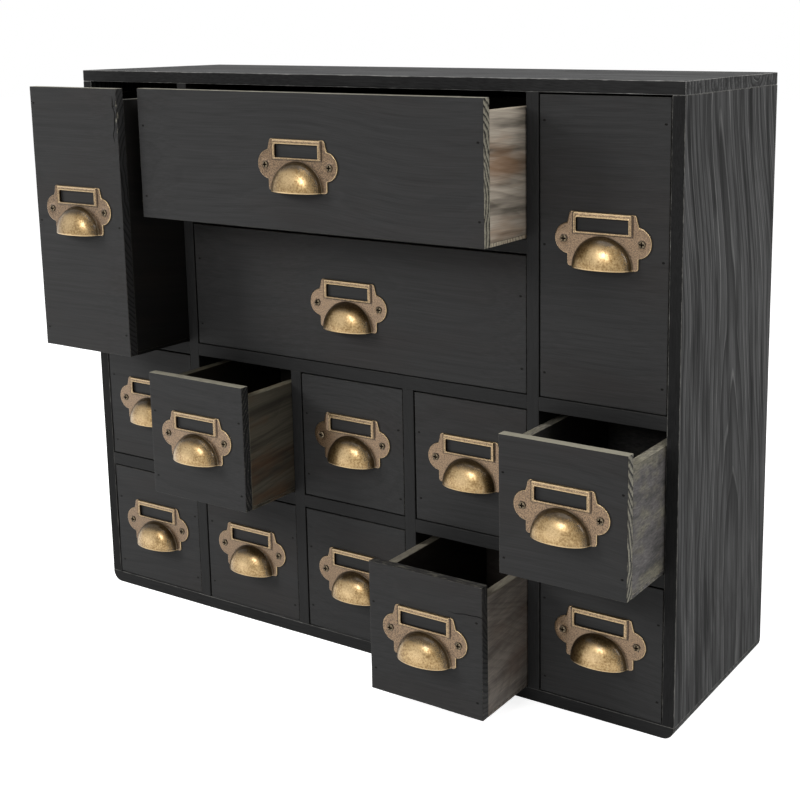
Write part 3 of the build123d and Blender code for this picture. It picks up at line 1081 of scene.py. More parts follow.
    def sampled(self) -> tuple[np.ndarray, list[np.ndarray]]:
        """Points of the plate: its loops, rows beside them, rows along the frame and an even scatter.

        Returns:
            The points between the loops, and the loops.
        """
        loops = [self.outline()] + self.holes()
        rows = []
        for loop in loops:
            tangent = np.roll(loop, -1, 0) - np.roll(loop, 1, 0)
            normal = np.stack([-tangent[:, 1], tangent[:, 0]], 1)
            normal /= np.maximum(np.linalg.norm(normal, axis=1, keepdims=True), 1e-12)
            for inset in self.LOOP_INSETS:
                rows += [loop + normal * inset, loop - normal * inset]
        for out in self.FRAME_ROWS:
            rise, drop = (out * width / self.rim for width in (self.top - self.window_high, self.rim_foot))
            half, low, high = self.window_half + out, self.window_low - drop, self.window_high + rise
            box = np.array([[half, low], [half, high], [-half, high], [-half, low]])
            rows.append(even_steps(box, self.step))
        across = np.arange(-self.SCATTER_HALF, self.SCATTER_HALF, self.mesh_gap)
        upward = np.arange(self.bottom, self.top, self.mesh_gap)
        scatter = np.stack(np.meshgrid(across, upward), -1)
        scatter[1::2, :, 0] += self.mesh_gap / 2
        spread = np.concatenate(rows + [scatter.reshape(-1, 2)])
        kept = is_inside(spread, loops[0])
        for hole in loops[1:]:
            kept &= ~is_inside(spread, hole)
        to_loops = np.min([distance_to(spread, loop) for loop in loops], axis=0)
        spread = spread[kept & (to_loops > self.LEAST_TO_LOOP)]
        grid = np.round(spread / self.LEAST_GAP).astype(int)
        first = np.unique(grid, axis=0, return_index=True)[1]
        return spread[np.sort(first)], loops

    def plate(self) -> Surface:
        """The plate as a closed shell: its face, a flat back and walls along every loop.

        Returns:
            The shell, with the values that its finish reads.
        """
        spread, loops = self.sampled()
        points = np.concatenate(loops + [spread])
        edges, start = [], 0
        for loop in loops:
            numbers = start + np.arange(len(loop))
            edges += np.stack([numbers, np.roll(numbers, -1)], 1).tolist()
            start += len(loop)
        found = delaunay_2d_cdt([Vector(p) for p in points.tolist()], edges, [], 0, 1e-5)
        flat = np.array([tuple(v) for v in found[0]])
        faces = np.array(found[2])
        middle = flat[faces].mean(1)
        kept = is_inside(middle, loops[0])
        for hole in loops[1:]:
            kept &= ~is_inside(middle, hole)
        faces = faces[kept]
        a, b, c = (flat[faces[:, corner]] for corner in range(3))
        turn = (b[:, 0] - a[:, 0]) * (c[:, 1] - a[:, 1]) - (b[:, 1] - a[:, 1]) * (c[:, 0] - a[:, 0])
        faces = np.where(turn[:, None] > 0, faces, faces[:, ::-1])
        to_edge = distance_to(flat, loops[0])
        height = self.height(flat, to_edge)
        count = len(flat)
        sides = np.concatenate([faces[:, [0, 1]], faces[:, [1, 2]], faces[:, [2, 0]]])
        keys = np.sort(sides, axis=1) @ [count, 1]
        _, index, uses = np.unique(keys, return_index=True, return_counts=True)
        rim = sides[index[uses == 1]]
        walls = np.stack([rim[:, 1], rim[:, 0], rim[:, 0] + count, rim[:, 1] + count], 1)
        shell = np.concatenate([np.column_stack([flat, height]), np.column_stack([flat, np.zeros(count)])])
        place = self.frame_place(flat)
        on_ridge = (place > -self.RIDGE_EDGE) & (place < self.rim + self.RIDGE_EDGE)
        crest = np.where(on_ridge, np.clip((height - self.thickness) / self.rim_rise, 0, 1) ** 2, 0)
        edge_reach, edge_rub = self.EDGE_RUB
        rub = np.maximum(np.exp(-to_edge / edge_reach) * edge_rub, crest * self.CREST_RUB)
        share = np.hypot(flat[:, 0] / self.cup_half, (flat[:, 1] - self.bottom) / self.cup_rise)
        to_foot = (share - 1) * self.cup_rise
        to_screw = np.hypot(np.abs(flat[:, 0]) - self.screw_half_gap, flat[:, 1])
        beside, beside_width = self.BESIDE_DARK
        foot_reach, foot_dark = self.AROUND_DARK
        ring, ring_width = self.SCREW_SHADOW_RING
        # Patina beside the frame and round the cup's foot, and a painted shadow ring round each screw.
        hollow = np.maximum.reduce([bell(place - self.rim - beside, beside_width),
                                    np.exp(-np.abs(to_foot) / foot_reach) * foot_dark,
                                    bell(to_screw - ring, ring_width)])
        hollow = np.where(on_ridge, self.GROOVE_DARK * (1 - crest), hollow)
        values = {CUP: np.zeros(2 * count), RUB_AND_HIGHLIGHT: np.tile(rub, 2), PATINA_AND_SHADE: np.tile(hollow, 2)}
        back = faces[:, ::-1] + count
        return Surface(shell, faces.tolist() + walls.tolist() + back.tolist(), values)

    def cup_profile(self, inner: bool) -> tuple[np.ndarray, np.ndarray]:
        """The cup's section from its nose to its foot.

        Its height is depth (1 - reach²)^p, a little fuller at the shoulder than an ellipse; a quarter circle
        flares the outer face's foot onto the plate.

        Args:
            inner: whether it is the inner face, which has no flare and runs down to the wood.

        Returns:
            Reach, as a share of the foot's, and height, in even steps along the section.
        """
        depth = self.cup_depth - (self.cup_wall if inner else 0)
        turn = np.linspace(0, math.pi / 2, 400)
        reach, height = np.sin(turn), depth * np.abs(np.cos(turn)) ** (2 * self.cup_power)
        lowest = self.INNER_FOOT if inner else self.thickness + self.cup_flare
        reach, height = reach[height > lowest], height[height > lowest]
        if not inner:
            bend = np.radians(np.linspace(0, 90, 6))
            reach = np.append(reach, 1 + self.cup_flare * (1 - np.cos(bend)) / self.cup_half)
            height = np.append(height, self.thickness + self.cup_flare * (1 - np.sin(bend)))
        steps = np.hypot(np.diff(reach) * self.cup_half, np.diff(height))
        walked = np.concatenate([[0], np.cumsum(steps)])
        places = np.linspace(0, walked[-1], 120)
        return np.interp(places, walked, reach), np.interp(places, walked, height)

    def cup(self) -> Surface:
        """The cup as a closed shell.

        A half square (u, v) is bent onto a half disc by (u sqrt(1 - v²/2), v sqrt(1 - u²/2)). The distance
        from the disc's middle is a share of the section's length, which gives the reach and the height. The
        inner face is the same map of the inner section. A rounded strip joins the two along the lip, and
        flat ones along the foot.

        Returns:
            The shell, with the values that its finish reads.
        """
        columns, rows = 61, 33
        u, v = np.meshgrid(np.linspace(-1, 1, columns), np.linspace(0, 1, rows))
        x, y = u * np.sqrt(1 - v ** 2 / 2), v * np.sqrt(1 - u ** 2 / 2)
        share = np.hypot(x, y)
        lip = self.bottom + self.cup_wall / 2
        shells = []
        for inner in (False, True):
            reach, height = self.cup_profile(inner)
            places = np.linspace(0, 1, len(reach))
            stretch = np.interp(share, places, reach) / np.maximum(share, 1e-9)
            half, rise = (size - (self.cup_wall if inner else 0) for size in (self.cup_half, self.cup_rise))
            shells.append(np.stack([x * stretch * half, lip + y * stretch * rise,
                                    np.interp(share, places, height)], -1))
        outer, inside = shells
        # The lip: half a turn from the outer face to the inner one, bulging down past both.
        turn = np.radians(np.linspace(0, 180, 6)[1:-1])[:, None, None]
        middle, half = (outer[0] + inside[0]) / 2, (outer[0] - inside[0]) / 2
        bulge = np.linalg.norm(half, axis=1, keepdims=True) * [0, -1, 0]
        strip = middle + half * np.cos(turn) + bulge * np.sin(turn)
        sheet = np.concatenate([outer[::-1], strip, inside])
        total = len(sheet)
        faces = grid_faces(total, columns)[:, ::-1]
        points = sheet.reshape(-1, 3)
        # The foot: the outer face's far border, side by side with the inner one's.
        number = np.arange(total * columns).reshape(total, columns)
        top = np.stack([number[0, :-1], number[0, 1:], number[-1, 1:], number[-1, :-1]], 1)
        pair, mirror = number[total - rows:, 0][::-1], number[total - rows:, -1][::-1]
        left = np.stack([number[:rows - 1, 0], pair[:-1], pair[1:], number[1:rows, 0]], 1)
        right = np.stack([number[:rows - 1, -1], number[1:rows, -1], mirror[1:], mirror[:-1]], 1)
        ends = []
        for column, flip in ((0, False), (-1, True)):
            ring = number[rows - 1:total - rows + 1, column].tolist()
            ends.append(ring[::-1] if flip else ring)
        across, upward = points[:, 0] / self.cup_half, (points[:, 1] - lip) / self.cup_rise
        reach = np.hypot(across, upward)
        is_outer = np.arange(len(points)) < rows * columns
        thumb, thumb_reach, thumb_rub_and_halo = self.THUMB_RUB_AND_HIGHLIGHT
        lip_reach, lip_rub = self.LIP_RUB
        # The front's rub is partly real rubbing and partly a painted highlight halo where the lamp's
        # highlight falls.
        rub = np.where(is_outer, thumb_rub_and_halo * bell(np.hypot(across, upward - thumb), thumb_reach), 0)
        rub = np.maximum(rub, np.exp(-(points[:, 1] - lip).clip(0) / lip_reach) * lip_rub)
        # Darkness on the cup: patina in its hollows, a painted dark reflection over its top and a partly
        # painted darker reflection on its flanks.
        dark = [most * np.clip((value - start) / spread, 0, 1)
                for value, (start, spread, most) in ((upward, self.CROWN_PAINTED_REFLECTION), (reach, self.FLANK_PATINA_AND_REFLECTION))]
        level, spread, most = self.CORNER_DARK
        dark.append(most * (np.clip(1 - upward / level, 0, 1) * np.clip(reach / spread, 0, 1)))
        least, inner_dark = self.CUP_DARK
        hollow = np.where(is_outer, least + np.maximum.reduce(dark), inner_dark)
        values = {CUP: np.ones(len(points)), RUB_AND_HIGHLIGHT: rub, PATINA_AND_SHADE: hollow}
        all_faces = np.concatenate([faces, top, left, right]).tolist() + ends
        return Surface(points, all_faces, values)

    def build(self) -> Surface:
        """Plate and cup together."""
        return self.plate().joined(self.cup())


@dataclass(frozen=True)
class PanScrew:
    """Small pan-head screw with a cross recess. X across, Y up, Z out from the plate, in millimetres."""

    radius: float = 2.6
    height: float = 1.0
    seat: float = 1.2            # the head's foot
    skirt: float = 0.9           # and its side's lower edge, sunk in the plate
    dome_reach: float = 1.04     # where the dome would reach the foot, in radii
    dome_power: float = 3.2
    recess_half: float = 0.62
    recess_reach: float = 2.05
    recess_depth: float = 0.8

    CORE = 1.45                                  # radius of the first ring, in half widths of the recess
    INNER_RINGS = (1.2, 1.6)
    OUTER_RINGS = (2.15, 2.3, 2.45)
    BETWEEN = (0.33, 0.67)                       # a ring's points between two arms, as shares of the way
    # The cross recess's floor carries painted shade.
    RECESS_SHADE = 2.0
    FACE_DARK = 0.1
    SKIRT_DARK = 0.9
    FACE_RUB = 0.35

    def build(self) -> Surface:
        """The head.

        Points lie on rings. Sixteen of a ring's points stand on the recess's edges, at the angle whose sine
        is the recess's half width over the ring's radius, in pairs: one on the head and one on its floor.
        The head's height over its foot is (1 - (r / reach)^power)^0.5, times the height at its middle.

        Returns:
            A closed shell, with the values that its finish reads.
        """
        inner = [self.recess_half * self.CORE, *self.INNER_RINGS, self.recess_reach]
        outer = [self.recess_reach, *self.OUTER_RINGS, self.radius]
        radii = np.array(inner + outer)
        in_recess = np.arange(len(radii)) < len(inner)
        fall = (radii / (self.radius * self.dome_reach)) ** self.dome_power
        top = self.seat + self.height * np.sqrt(np.clip(1 - fall, 0, 1))
        columns = []
        for quarter in range(4):
            start = quarter * math.pi / 2
            lean = np.arcsin(self.recess_half / radii)
            for turn, floor in ((0 * lean, True), (lean, True), (lean, False)):
                columns.append((start + turn, floor))
            for share in self.BETWEEN:
                columns.append((start + lean + (math.pi / 2 - 2 * lean) * share, False))
            for turn, floor in ((math.pi / 2 - lean, False), (math.pi / 2 - lean, True)):
                columns.append((start + turn, floor))
        points, hollow = [], []
        for angle, floor in columns:
            sunk = in_recess & floor
            z = np.where(sunk, self.seat + self.height - self.recess_depth, top)
            points.append(np.stack([radii * np.cos(angle), radii * np.sin(angle), z], 1))
            hollow.append(np.where(sunk, self.RECESS_SHADE, self.FACE_DARK))
        grid = np.stack(points, 1)
        rows, count = grid.shape[:2]
        skirt = grid[-1:] * [1, 1, 0] + [0, 0, self.skirt]
        grid = np.concatenate([grid, skirt])
        dark = np.concatenate([np.stack(hollow, 1), np.full((1, count), self.SKIRT_DARK)])
        faces = grid_faces(rows + 1, count, wrap_columns=True).tolist()
        centre, base = grid.size // 3, grid.size // 3 + 1
        ring = np.arange(count)
        faces += np.stack([np.full(count, centre), ring, np.roll(ring, -1)], 1).tolist()
        last = rows * count + ring
        faces += np.stack([np.full(count, base), np.roll(last, -1), last], 1).tolist()
        floor = self.seat + self.height - self.recess_depth
        all_points = np.concatenate([grid.reshape(-1, 3), [[0, 0, floor], [0, 0, self.skirt]]])
        hollow_all = np.concatenate([dark.ravel(), [self.RECESS_SHADE, self.SKIRT_DARK]])
        rub = np.where(hollow_all == self.FACE_DARK, self.FACE_RUB, 0.0)
        values = {CUP: np.zeros(len(all_points)), RUB_AND_HIGHLIGHT: rub, PATINA_AND_SHADE: hollow_all}
        return Surface(all_points, faces, values)


# ---------------------------------------------------------------- drawers
@dataclass(frozen=True)
class BradHead:
    """Head of a fine brad set flush and stained over: a dished oval button, in millimetres."""

    radius: float = 0.85
    length: float = 1.5          # times its height, along the grain
    proud: float = 0.1

    PROFILE = ((1.0, -0.3), (1.0, 0.0), (0.93, 1.0), (0.8, 1.1), (0.55, 0.45), (0.3, 0.3))  # reach and rise
    SPOKES = 12

    def build(self) -> Surface:
        """A profile turned round the nail's axis: a low rim and a dished middle.

        Returns:
            The closed button.
        """
        profile = np.array(self.PROFILE)
        turn = np.linspace(0, 2 * math.pi, self.SPOKES, endpoint=False)
        reach, rise = profile[:, :1] * self.radius, profile[:, 1:] * self.proud
        grid = np.stack([reach * self.length * np.cos(turn), reach * np.sin(turn),
                         rise * np.ones(self.SPOKES)], -1)
        faces = grid_faces(len(profile), self.SPOKES, wrap_columns=True)[:, ::-1].tolist()
        first = np.arange(self.SPOKES)
        last = (len(profile) - 1) * self.SPOKES + first
        faces.append(first[::-1].tolist())
        faces.append(last.tolist())
        return Surface(grid.reshape(-1, 3), faces)


class Flaw(Enum):
    """Damage that a drawer's front may have."""

    NONE = "none"
    CHIP = "chipped arris"
    CRACK = "drying crack"


@dataclass
class Drawer:
    """One drawer: a front board, two sides, a back, a bottom sheet, a label pull and its brads.

    The measures of a chip, a split and a crack are in millimetres.
    """

    name: str
    front_finish: bpy.types.Material
    box_finish: bpy.types.Material
    brass: bpy.types.Material
    screw_brass: bpy.types.Material
    iron: bpy.types.Material
    top_bare_and_highlight: float = 0.5                        # how bare the front's top edge is; on the tall left and wide upper fronts also a painted highlight along it
    end_bare: float = 0.2                        # its two sawn ends
    sheet_bare: float = 0.2                      # the bottom sheet's two long edges
    rim_bare: float = 0.5                        # and the top edges of the sides and back
    inside_soak: float = 0.85                    # how black the inner faces are
    side_thickness: float = 8.0 * MM
    back_thickness: float = 8.0 * MM
    sheet_thickness: float = 2.8 * MM
    side_ease: float = 0.9 * MM                  # largest radius of an eased edge, on each kind of board
    back_ease: float = 0.7 * MM
    sheet_ease: float = 0.4 * MM
    front_ease: float = 0.9 * MM
    front_gap: float = 14 * MM                   # between the lines of the front's mesh
    plate_drop: float = 20.2 * MM                # plate's lower edge below the screws
    flaw: Flaw = Flaw.NONE
    chip_middle: float = 26.0                    # below the front's top
    chip_half: float = 20.0                      # half its length
    chip_depth: float = 1.2
    chip_reach: float = 2.2                      # round the arris
    split_place: float = 3.6                     # the split beside it: how far in, its depth and width
    split_depth: float = 1.7
    split_width: float = 0.33
    crack_level: float = 84.0                    # above the front's lower edge
    crack_length: float = 33.0
    crack_fade: float = 12.0                     # length over which it closes
    crack_depth: float = 0.7
    crack_width: float = 0.3
    brad_inset: float = 4.4 * MM
    brad_levels: tuple[float, ...] = (0.15, 0.7)
    front_slot: str = "front_black_wood"
    box_slot: str = "drawer_box_wood"
    brass_slot: str = "antique_brass"

    ON_FACE = 0.2 * MM                           # a point this near the face lies on it
    CHIP_WAVES = (0.009, 0.005, 0.0033)          # lengths over which the bite differs, in metres
    CHIP_ACROSS = (0.4, 6.8, 22)                 # the mesh's further lines: first, last and how many
    CHIP_DOWN = (4, 50, 56)
    CRACK_ACROSS = (-2.6, 1.2, 26)
    CRACK_STEPS = 26
    BRAD_SHIFT = (0.8 * MM, 3.5 * MM)            # how far a brad strays, across and up

    def boards(self) -> list[Board]:
        """The drawer box's four boards, worked out from the CAD node's box.

        Returns:
            The bottom sheet, the two sides and the back.
        """
        low, high = corners_of(f"{self.name}_box")
        sheet_top = low[2] + self.sheet_thickness
        left_wall, right_wall = low[0] + self.side_thickness, high[0] - self.side_thickness
        back_face = high[1] - self.back_thickness
        spans = {
            "bottom_sheet": (low, (high[0], high[1], sheet_top), Along.X, self.sheet_ease),
            "left_board": ((low[0], low[1], sheet_top), (left_wall, high[1], high[2]), Along.Y,
                           self.side_ease),
            "right_board": ((right_wall, low[1], sheet_top), high, Along.Y, self.side_ease),
            "back_board": ((left_wall, back_face, sheet_top), (right_wall, high[1], high[2]), Along.X,
                           self.back_ease),
        }
        inner_sides = {"bottom_sheet": Side.TOP, "left_board": Side.RIGHT, "right_board": Side.LEFT,
                       "back_board": Side.FRONT}
        made = []
        for part, (first, last, along, ease) in spans.items():
            name = f"{self.name}_{part}"
            flat = part == "bottom_sheet"
            long_edges = {Side.RIGHT: self.sheet_bare, Side.LEFT: self.sheet_bare}
            bare = long_edges if flat else {Side.TOP: self.rim_bare}
            made.append(Board(name, np.array(first, float), np.array(last, float), along, self.box_finish,
                              seeded_cut(name, flat), ease, bare, {inner_sides[part]: self.inside_soak}))
        return made

    def front(self) -> Board:
        """The front board, with its top edge and ends less stained; on some fronts the pale top edge is also
        a painted highlight.

        Returns:
            The board, not built yet.
        """
        low, high = corners_of(f"{self.name}_front")
        name = f"{self.name}_front_board"
        cut = seeded_cut(name, flat=False)
        bare = {Side.TOP: self.top_bare_and_highlight, Side.RIGHT: self.end_bare, Side.LEFT: self.end_bare}
        board = Board(name, low, high, Along.X, self.front_finish, cut, self.front_ease, bare,
                      line_gap=self.front_gap)
        if self.flaw is Flaw.CHIP:
            near = np.linspace(*self.CHIP_ACROSS) * MM
            down = np.linspace(*self.CHIP_DOWN) * MM
            board.extra_lines = {0: high[0] - near, 1: low[1] + near[::3], 2: high[2] - down}
            board.carve, board.split_shows = self.chip_arris, True
        if self.flaw is Flaw.CRACK:
            levels = self.crack_level + np.linspace(*self.CRACK_ACROSS)
            inward = np.linspace(1, self.crack_length + 2, self.CRACK_STEPS)
            board.extra_lines = {0: high[0] - inward * MM, 2: low[2] + levels * MM}
            board.carve, board.split_shows = self.crack_face, True
        return board

    def chip_arris(self, points: np.ndarray, square: np.ndarray) -> np.ndarray:
        """Splits the front's upper right arris: a ragged bite, and a fine split on the face beside it.

        Both are deepest at the chip's middle. The bite falls off round the arris as a bell curve, and the
        split is one across a line that wanders as two sines.

        Args:
            points: the eased board.
            square: the same points before easing.

        Returns:
            The chipped board.
        """
        low, high = corners_of(f"{self.name}_front")
        down = (high[2] - square[:, 2]) / MM
        inward = (high[0] - square[:, 0]) / MM
        length = np.clip(1 - np.abs(down - self.chip_middle) / self.chip_half, 0, 1) ** 0.6
        ragged = 0.3 + 1.5 * waves(square, 5, self.CHIP_WAVES) ** 1.5
        to_arris = np.hypot(inward, (square[:, 1] - low[1]) / MM)
        bite = self.chip_depth * MM * length * ragged * bell(to_arris, self.chip_reach)
        split = self.split_place + 1.1 * np.sin(down / 5.1) + 0.5 * np.sin(down / 1.9)
        on_face = square[:, 1] < low[1] + self.ON_FACE
        gap = self.split_depth * MM * length * bell(inward - split, self.split_width) * on_face
        chipped = points.copy()
        chipped[:, 0] -= bite * 0.9
        chipped[:, 1] += bite * 0.7 + gap
        return chipped

    def crack_face(self, points: np.ndarray, square: np.ndarray) -> np.ndarray:
        """Opens a fine drying crack along the grain, from the right end inwards.

        It is a bell curve across a path that wanders as two sines and falls a little, and it closes evenly
        towards its inner end.

        Args:
            points: the eased board.
            square: the same points before easing.

        Returns:
            The cracked board.
        """
        low, high = corners_of(f"{self.name}_front")
        inward = (high[0] - square[:, 0]) / MM
        path = self.crack_level + 0.5 * np.sin(inward / 5.5) + 0.25 * np.sin(inward / 2.1) - 0.03 * inward
        from_path = (square[:, 2] - low[2]) / MM - path
        length = np.clip((self.crack_length - inward) / self.crack_fade, 0, 1)
        on_face = square[:, 1] < low[1] + self.ON_FACE
        depth = self.crack_depth * MM * length * bell(from_path, self.crack_width) * on_face
        cracked = points.copy()
        cracked[:, 1] += depth
        return cracked

    def place(self, surface: Surface, at: np.ndarray) -> Surface:
        """A surface in millimetres, X across, Y up and Z out, put on the drawer's face.

        Args:
            surface: the shape.
            at: where its origin goes.

        Returns:
            The shape in the frame.
        """
        x, y, z = surface.points.T * MM
        return Surface(np.stack([x, -z, y], 1) + at, surface.faces, surface.values)

    def dress(self, pull: Surface, screw: Surface, brad: Surface, screw_half_gap: float) -> None:
        """Builds every piece of the drawer on its body.

        Args:
            pull: the label pull's shape.
            screw: a screw's shape.
            brad: a brad head's shape.
            screw_half_gap: from the pull's middle to a screw, in millimetres.
        """
        front = self.front()
        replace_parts(front.make(self.name, self.front_slot), f"{self.name}_front")
        made = [board.make(self.name, self.box_slot) for board in self.boards()]
        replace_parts(made[0], f"{self.name}_box")
        low, high = corners_of(f"{self.name}_pull")
        middle = np.array([(low[0] + high[0]) / 2, front.low[1], low[2] + self.plate_drop])
        piece = self.place(pull, middle).to_object(f"{self.name}_label_pull", self.brass)
        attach(piece, self.name)
        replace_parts(piece, f"{self.name}_pull")
        for side, word in ((-1, "left"), (1, "right")):
            at = middle + np.array([side * screw_half_gap * MM, 0, 0])
            head = self.place(screw, at).to_object(f"{self.name}_{word}_screw", self.screw_brass,
                                                   smooth=False)
            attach(head, self.name)
        self.add_brads(front, brad)
        log.info("drawer %s: pull at %s", self.name, np.round(middle, 4).tolist())

    def add_brads(self, front: Board, brad: Surface) -> None:
        """Sets brad heads down both sides of the front.

        Args:
            front: the front board.
            brad: a head's shape.
        """
        random = np.random.default_rng(len(self.name) + ord(self.name[-1]))
        joined = None
        for x in (front.low[0] + self.brad_inset, front.high[0] - self.brad_inset):
            for level in self.brad_levels:
                shift = random.uniform(-1, 1, 2) * self.BRAD_SHIFT
                z = front.low[2] + level * (front.high[2] - front.low[2])
                head = self.place(brad, np.array([x + shift[0], front.low[1], z + shift[1]]))
                joined = head if joined is None else joined.joined(head)
        piece = joined.to_object(f"{self.name}_brads", self.iron)
        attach(piece, self.name)


@dataclass(frozen=True)
class IronFinish:
    """Steel brad heads under black stain: dark, dull, a little brown in spots."""

    name: str = "stained_steel_brad"
    dark: str = "#060606"
    worn: str = "#2A2622"
    spot_mm: float = 0.5
    roughness: float = 0.7
    sheen_level: float = 0.1

    SPOT_STOPS = ((0.5, 0.0), (0.75, 1.0))

    def build(self) -> bpy.types.Material:
        """Wires the material.

        Returns:
            The finished material.
        """
        material = bpy.data.materials.new(self.name)
        add = Wiring(material).add
        marks = add(Node.NOISE, add(Node.OBJECT_PLACE), 1 / (self.spot_mm * MM), 2.0)
        spots = add(Node.RAMP, marks, stops=self.SPOT_STOPS)
        colour = add(Node.BLEND, spots, linear(self.dark), linear(self.worn))
        add(Node.MATERIAL_OUTPUT, add(Node.STAINED, colour, self.roughness, self.sheen_level))
        return material


# ---------------------------------------------------------------- studio
@dataclass(frozen=True)
class Lamp:
    """A soft box that looks at the cabinet.

    Attributes:
        azimuth: degrees from the front towards the right.
        elevation: degrees above the horizon.
        mirrored: whether gloss shows it.
    """

    name: str
    azimuth: float
    elevation: float
    distance: float
    width: float
    height: float
    watts: float
    mirrored: bool = True

    def build(self, target: np.ndarray) -> None:
        """Hangs the lamp.

        Args:
            target: the point it faces.
        """
        turn, rise = math.radians(self.azimuth), math.radians(self.elevation)
        way = np.array([math.sin(turn) * math.cos(rise), -math.cos(turn) * math.cos(rise), math.sin(rise)])
        light = bpy.data.lights.new(self.name, "AREA")
        light.shape, light.size, light.size_y, light.energy = "RECTANGLE", self.width, self.height, self.watts
        lamp = bpy.data.objects.new(self.name, light)
        lamp.location = target + way * self.distance
        lamp.rotation_euler = Vector(-way).to_track_quat("-Z", "Y").to_euler()
        lamp.visible_glossy = self.mirrored
        bpy.context.scene.collection.objects.link(lamp)


@dataclass(frozen=True)
class Studio:
    """Pale floor, white surroundings, soft boxes and the camera."""

    ambient: float = 0.2
    floor_half: float = 8.0
    floor_drop: float = 0.2 * MM
    floor_colour: str = "#E4E4E4"
    floor_fill: float = 0.85                     # share of white that the floor shows in its own shadow
    camera_place: tuple[float, float, float] = (0.68428, -0.96106, 0.53601)
    camera_turn: tuple[float, float, float] = (79.255, 0.365, 31.514)
    lens_mm: float = 60.97
    sensor_mm: float = 36.0
    shift: tuple[float, float] = (-0.1258, -0.15)
    lamps: tuple[Lamp, ...] = (
        Lamp("key_softbox", -3, 25, 3.2, 0.8, 0.8, 29),
        Lamp("left_softbox", -52, 24, 2.6, 0.8, 0.8, 53, mirrored=False),
        Lamp("side_softbox", 97, 32, 2.1, 0.7, 0.9, 19),
        Lamp("overhead_softbox", 10, 82, 1.9, 1.4, 1.4, 12),
    )

    def build(self) -> None:
        """Makes the world, the floor, the lamps and the camera."""
        self.build_world()
        self.build_floor()
        low, high = CAD_BOX
        target = np.array((low + high) / 2)
        for lamp in self.lamps:
            lamp.build(target)
        self.build_camera()

    def build_world(self) -> None:
        """White wherever the camera, gloss or glass looks; plain soft light for everything else."""
        world = bpy.data.worlds.new("white_surroundings")
        bpy.context.scene.world = world
        wiring = Wiring(world)
        level = wiring.add(Node.SPAN, wiring.looked_at(), self.ambient, 1.0)
        wiring.add(Node.WORLD_OUTPUT, wiring.add(Node.BACKGROUND, linear("#FFFFFF"), level))

    def build_floor(self) -> None:
        """A pale floor that keeps the object's shadow and meets the white surroundings without a line."""
        half = self.floor_half
        corners = np.array([[-half, -half], [half, -half], [half, half], [-half, half]])
        points = np.column_stack([corners, np.full(4, -self.floor_drop)])
        material = bpy.data.materials.new("pale_studio_floor")
        wiring = Wiring(material)
        strength = wiring.add(Node.MULTIPLY, wiring.looked_at(), self.floor_fill)
        fill = wiring.add(Node.GLOW, linear("#FFFFFF"), strength)
        matt = wiring.add(Node.MATT, linear(self.floor_colour))
        wiring.add(Node.MATERIAL_OUTPUT, wiring.add(Node.BOTH, fill, matt))
        Surface(points, [[0, 1, 2, 3]]).to_object("studio_floor", material, smooth=False)

    def build_camera(self) -> None:
        """The camera, where the photograph's was, looking down a little and to the left."""
        data = bpy.data.cameras.new("photo_camera")
        data.lens, data.sensor_width = self.lens_mm, self.sensor_mm
        data.shift_x, data.shift_y = self.shift
        camera = bpy.data.objects.new("photo_camera", data)
        camera.location = self.camera_place
        camera.rotation_euler = tuple(math.radians(angle) for angle in self.camera_turn)
        bpy.context.scene.collection.objects.link(camera)
        bpy.context.scene.camera = camera


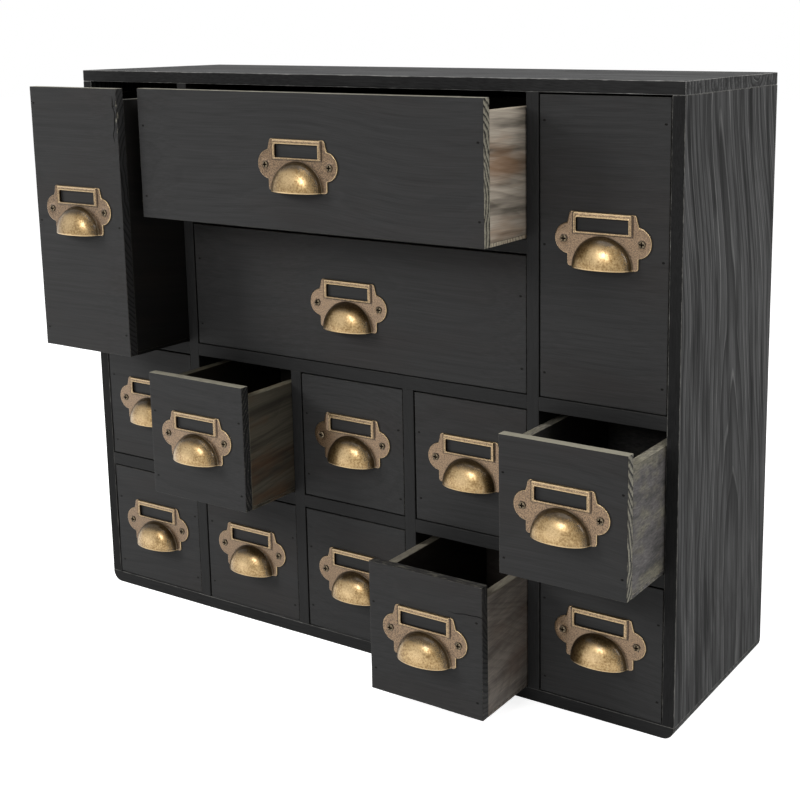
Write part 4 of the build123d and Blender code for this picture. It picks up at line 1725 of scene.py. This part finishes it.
# ---------------------------------------------------------------- the whole
@dataclass
class Cabinet:
    """The casing and its fourteen drawers."""

    box_finishes: dict[str, PineFinish] = field(default_factory=lambda: {
        "tall_left": BLACK_WASH_AND_SHADE, "tall_right": OLIVE_WASH,
        "wide_upper": GREIGE_WASH, "wide_lower": UMBER_WASH,
        "upper_1": LILAC_WASH, "upper_2": OLIVE_WASH, "upper_3": UMBER_WASH, "upper_4": BLACK_WASH_AND_SHADE,
        "upper_5": LILAC_WASH, "lower_1": GREIGE_WASH, "lower_2": OLIVE_WASH, "lower_3": LILAC_WASH,
        "lower_4": UMBER_WASH, "lower_5": OLIVE_WASH,
    })
    # Bare top edges; on the tall left and wide upper fronts the pale line is also a painted highlight.
    top_bare_and_highlight: dict[str, float] = field(default_factory=lambda: {
        "lower_4": 0.35, "upper_2": 0.7, "upper_5": 0.8, "wide_upper": 0.6, "tall_left": 0.6})
    end_bare: dict[str, float] = field(default_factory=lambda: {
        "wide_upper": 0.66, "upper_5": 0.6, "upper_2": 0.34, "lower_4": 0.3, "tall_left": 0.05})
    usual_top_bare: float = 0.2                  # on the other drawers
    usual_end_bare: float = 0.25
    pale_sheet_bare: float = 0.7                 # on drawers with the palest wash
    flaws: dict[str, Flaw] = field(default_factory=lambda: {"tall_left": Flaw.CHIP, "lower_4": Flaw.CRACK})
    tall_brad_levels: tuple[float, ...] = (0.07, 0.5, 0.93)

    def build(self) -> None:
        """Makes the casing, then each drawer."""
        Casing(CASING_STAIN.build(), TOP_STAIN.build(), BOTTOM_STAIN.build(), EDGE_STAIN.build()).build()
        front = FRONT_STAIN.build()
        brass, iron = BrassFinish().build(), IronFinish().build()
        screw_brass = BrassFinish("dulled_brass_plated_screw", plate="#6B6152", plate_dark="#453C31",
                                  bright="#8E8068", roughness=0.55, lacquer=0.0).build()
        washes = {}
        pull_form = LabelPull()
        pull, screw, brad = pull_form.build(), PanScrew().build(), BradHead().build()
        log.info("label pull: %d points, %d faces", len(pull.points), len(pull.faces))
        for name, wash in self.box_finishes.items():
            if wash.name not in washes:
                washes[wash.name] = wash.build()
            drawer = Drawer(name, front, washes[wash.name], brass, screw_brass, iron,
                            self.top_bare_and_highlight.get(name, self.usual_top_bare),
                            self.end_bare.get(name, self.usual_end_bare))
            if wash is GREIGE_WASH:
                drawer.sheet_bare = self.pale_sheet_bare
            drawer.flaw = self.flaws.get(name, Flaw.NONE)
            if name.startswith("tall"):
                drawer.brad_levels = self.tall_brad_levels
            drawer.dress(pull, screw, brad, pull_form.screw_half_gap)


def main() -> None:
    """Builds the studio and the cabinet."""
    bpy.context.scene.view_settings.view_transform = "Standard"
    Studio().build()
    Cabinet().build()


if __name__ == "__main__":
    main()
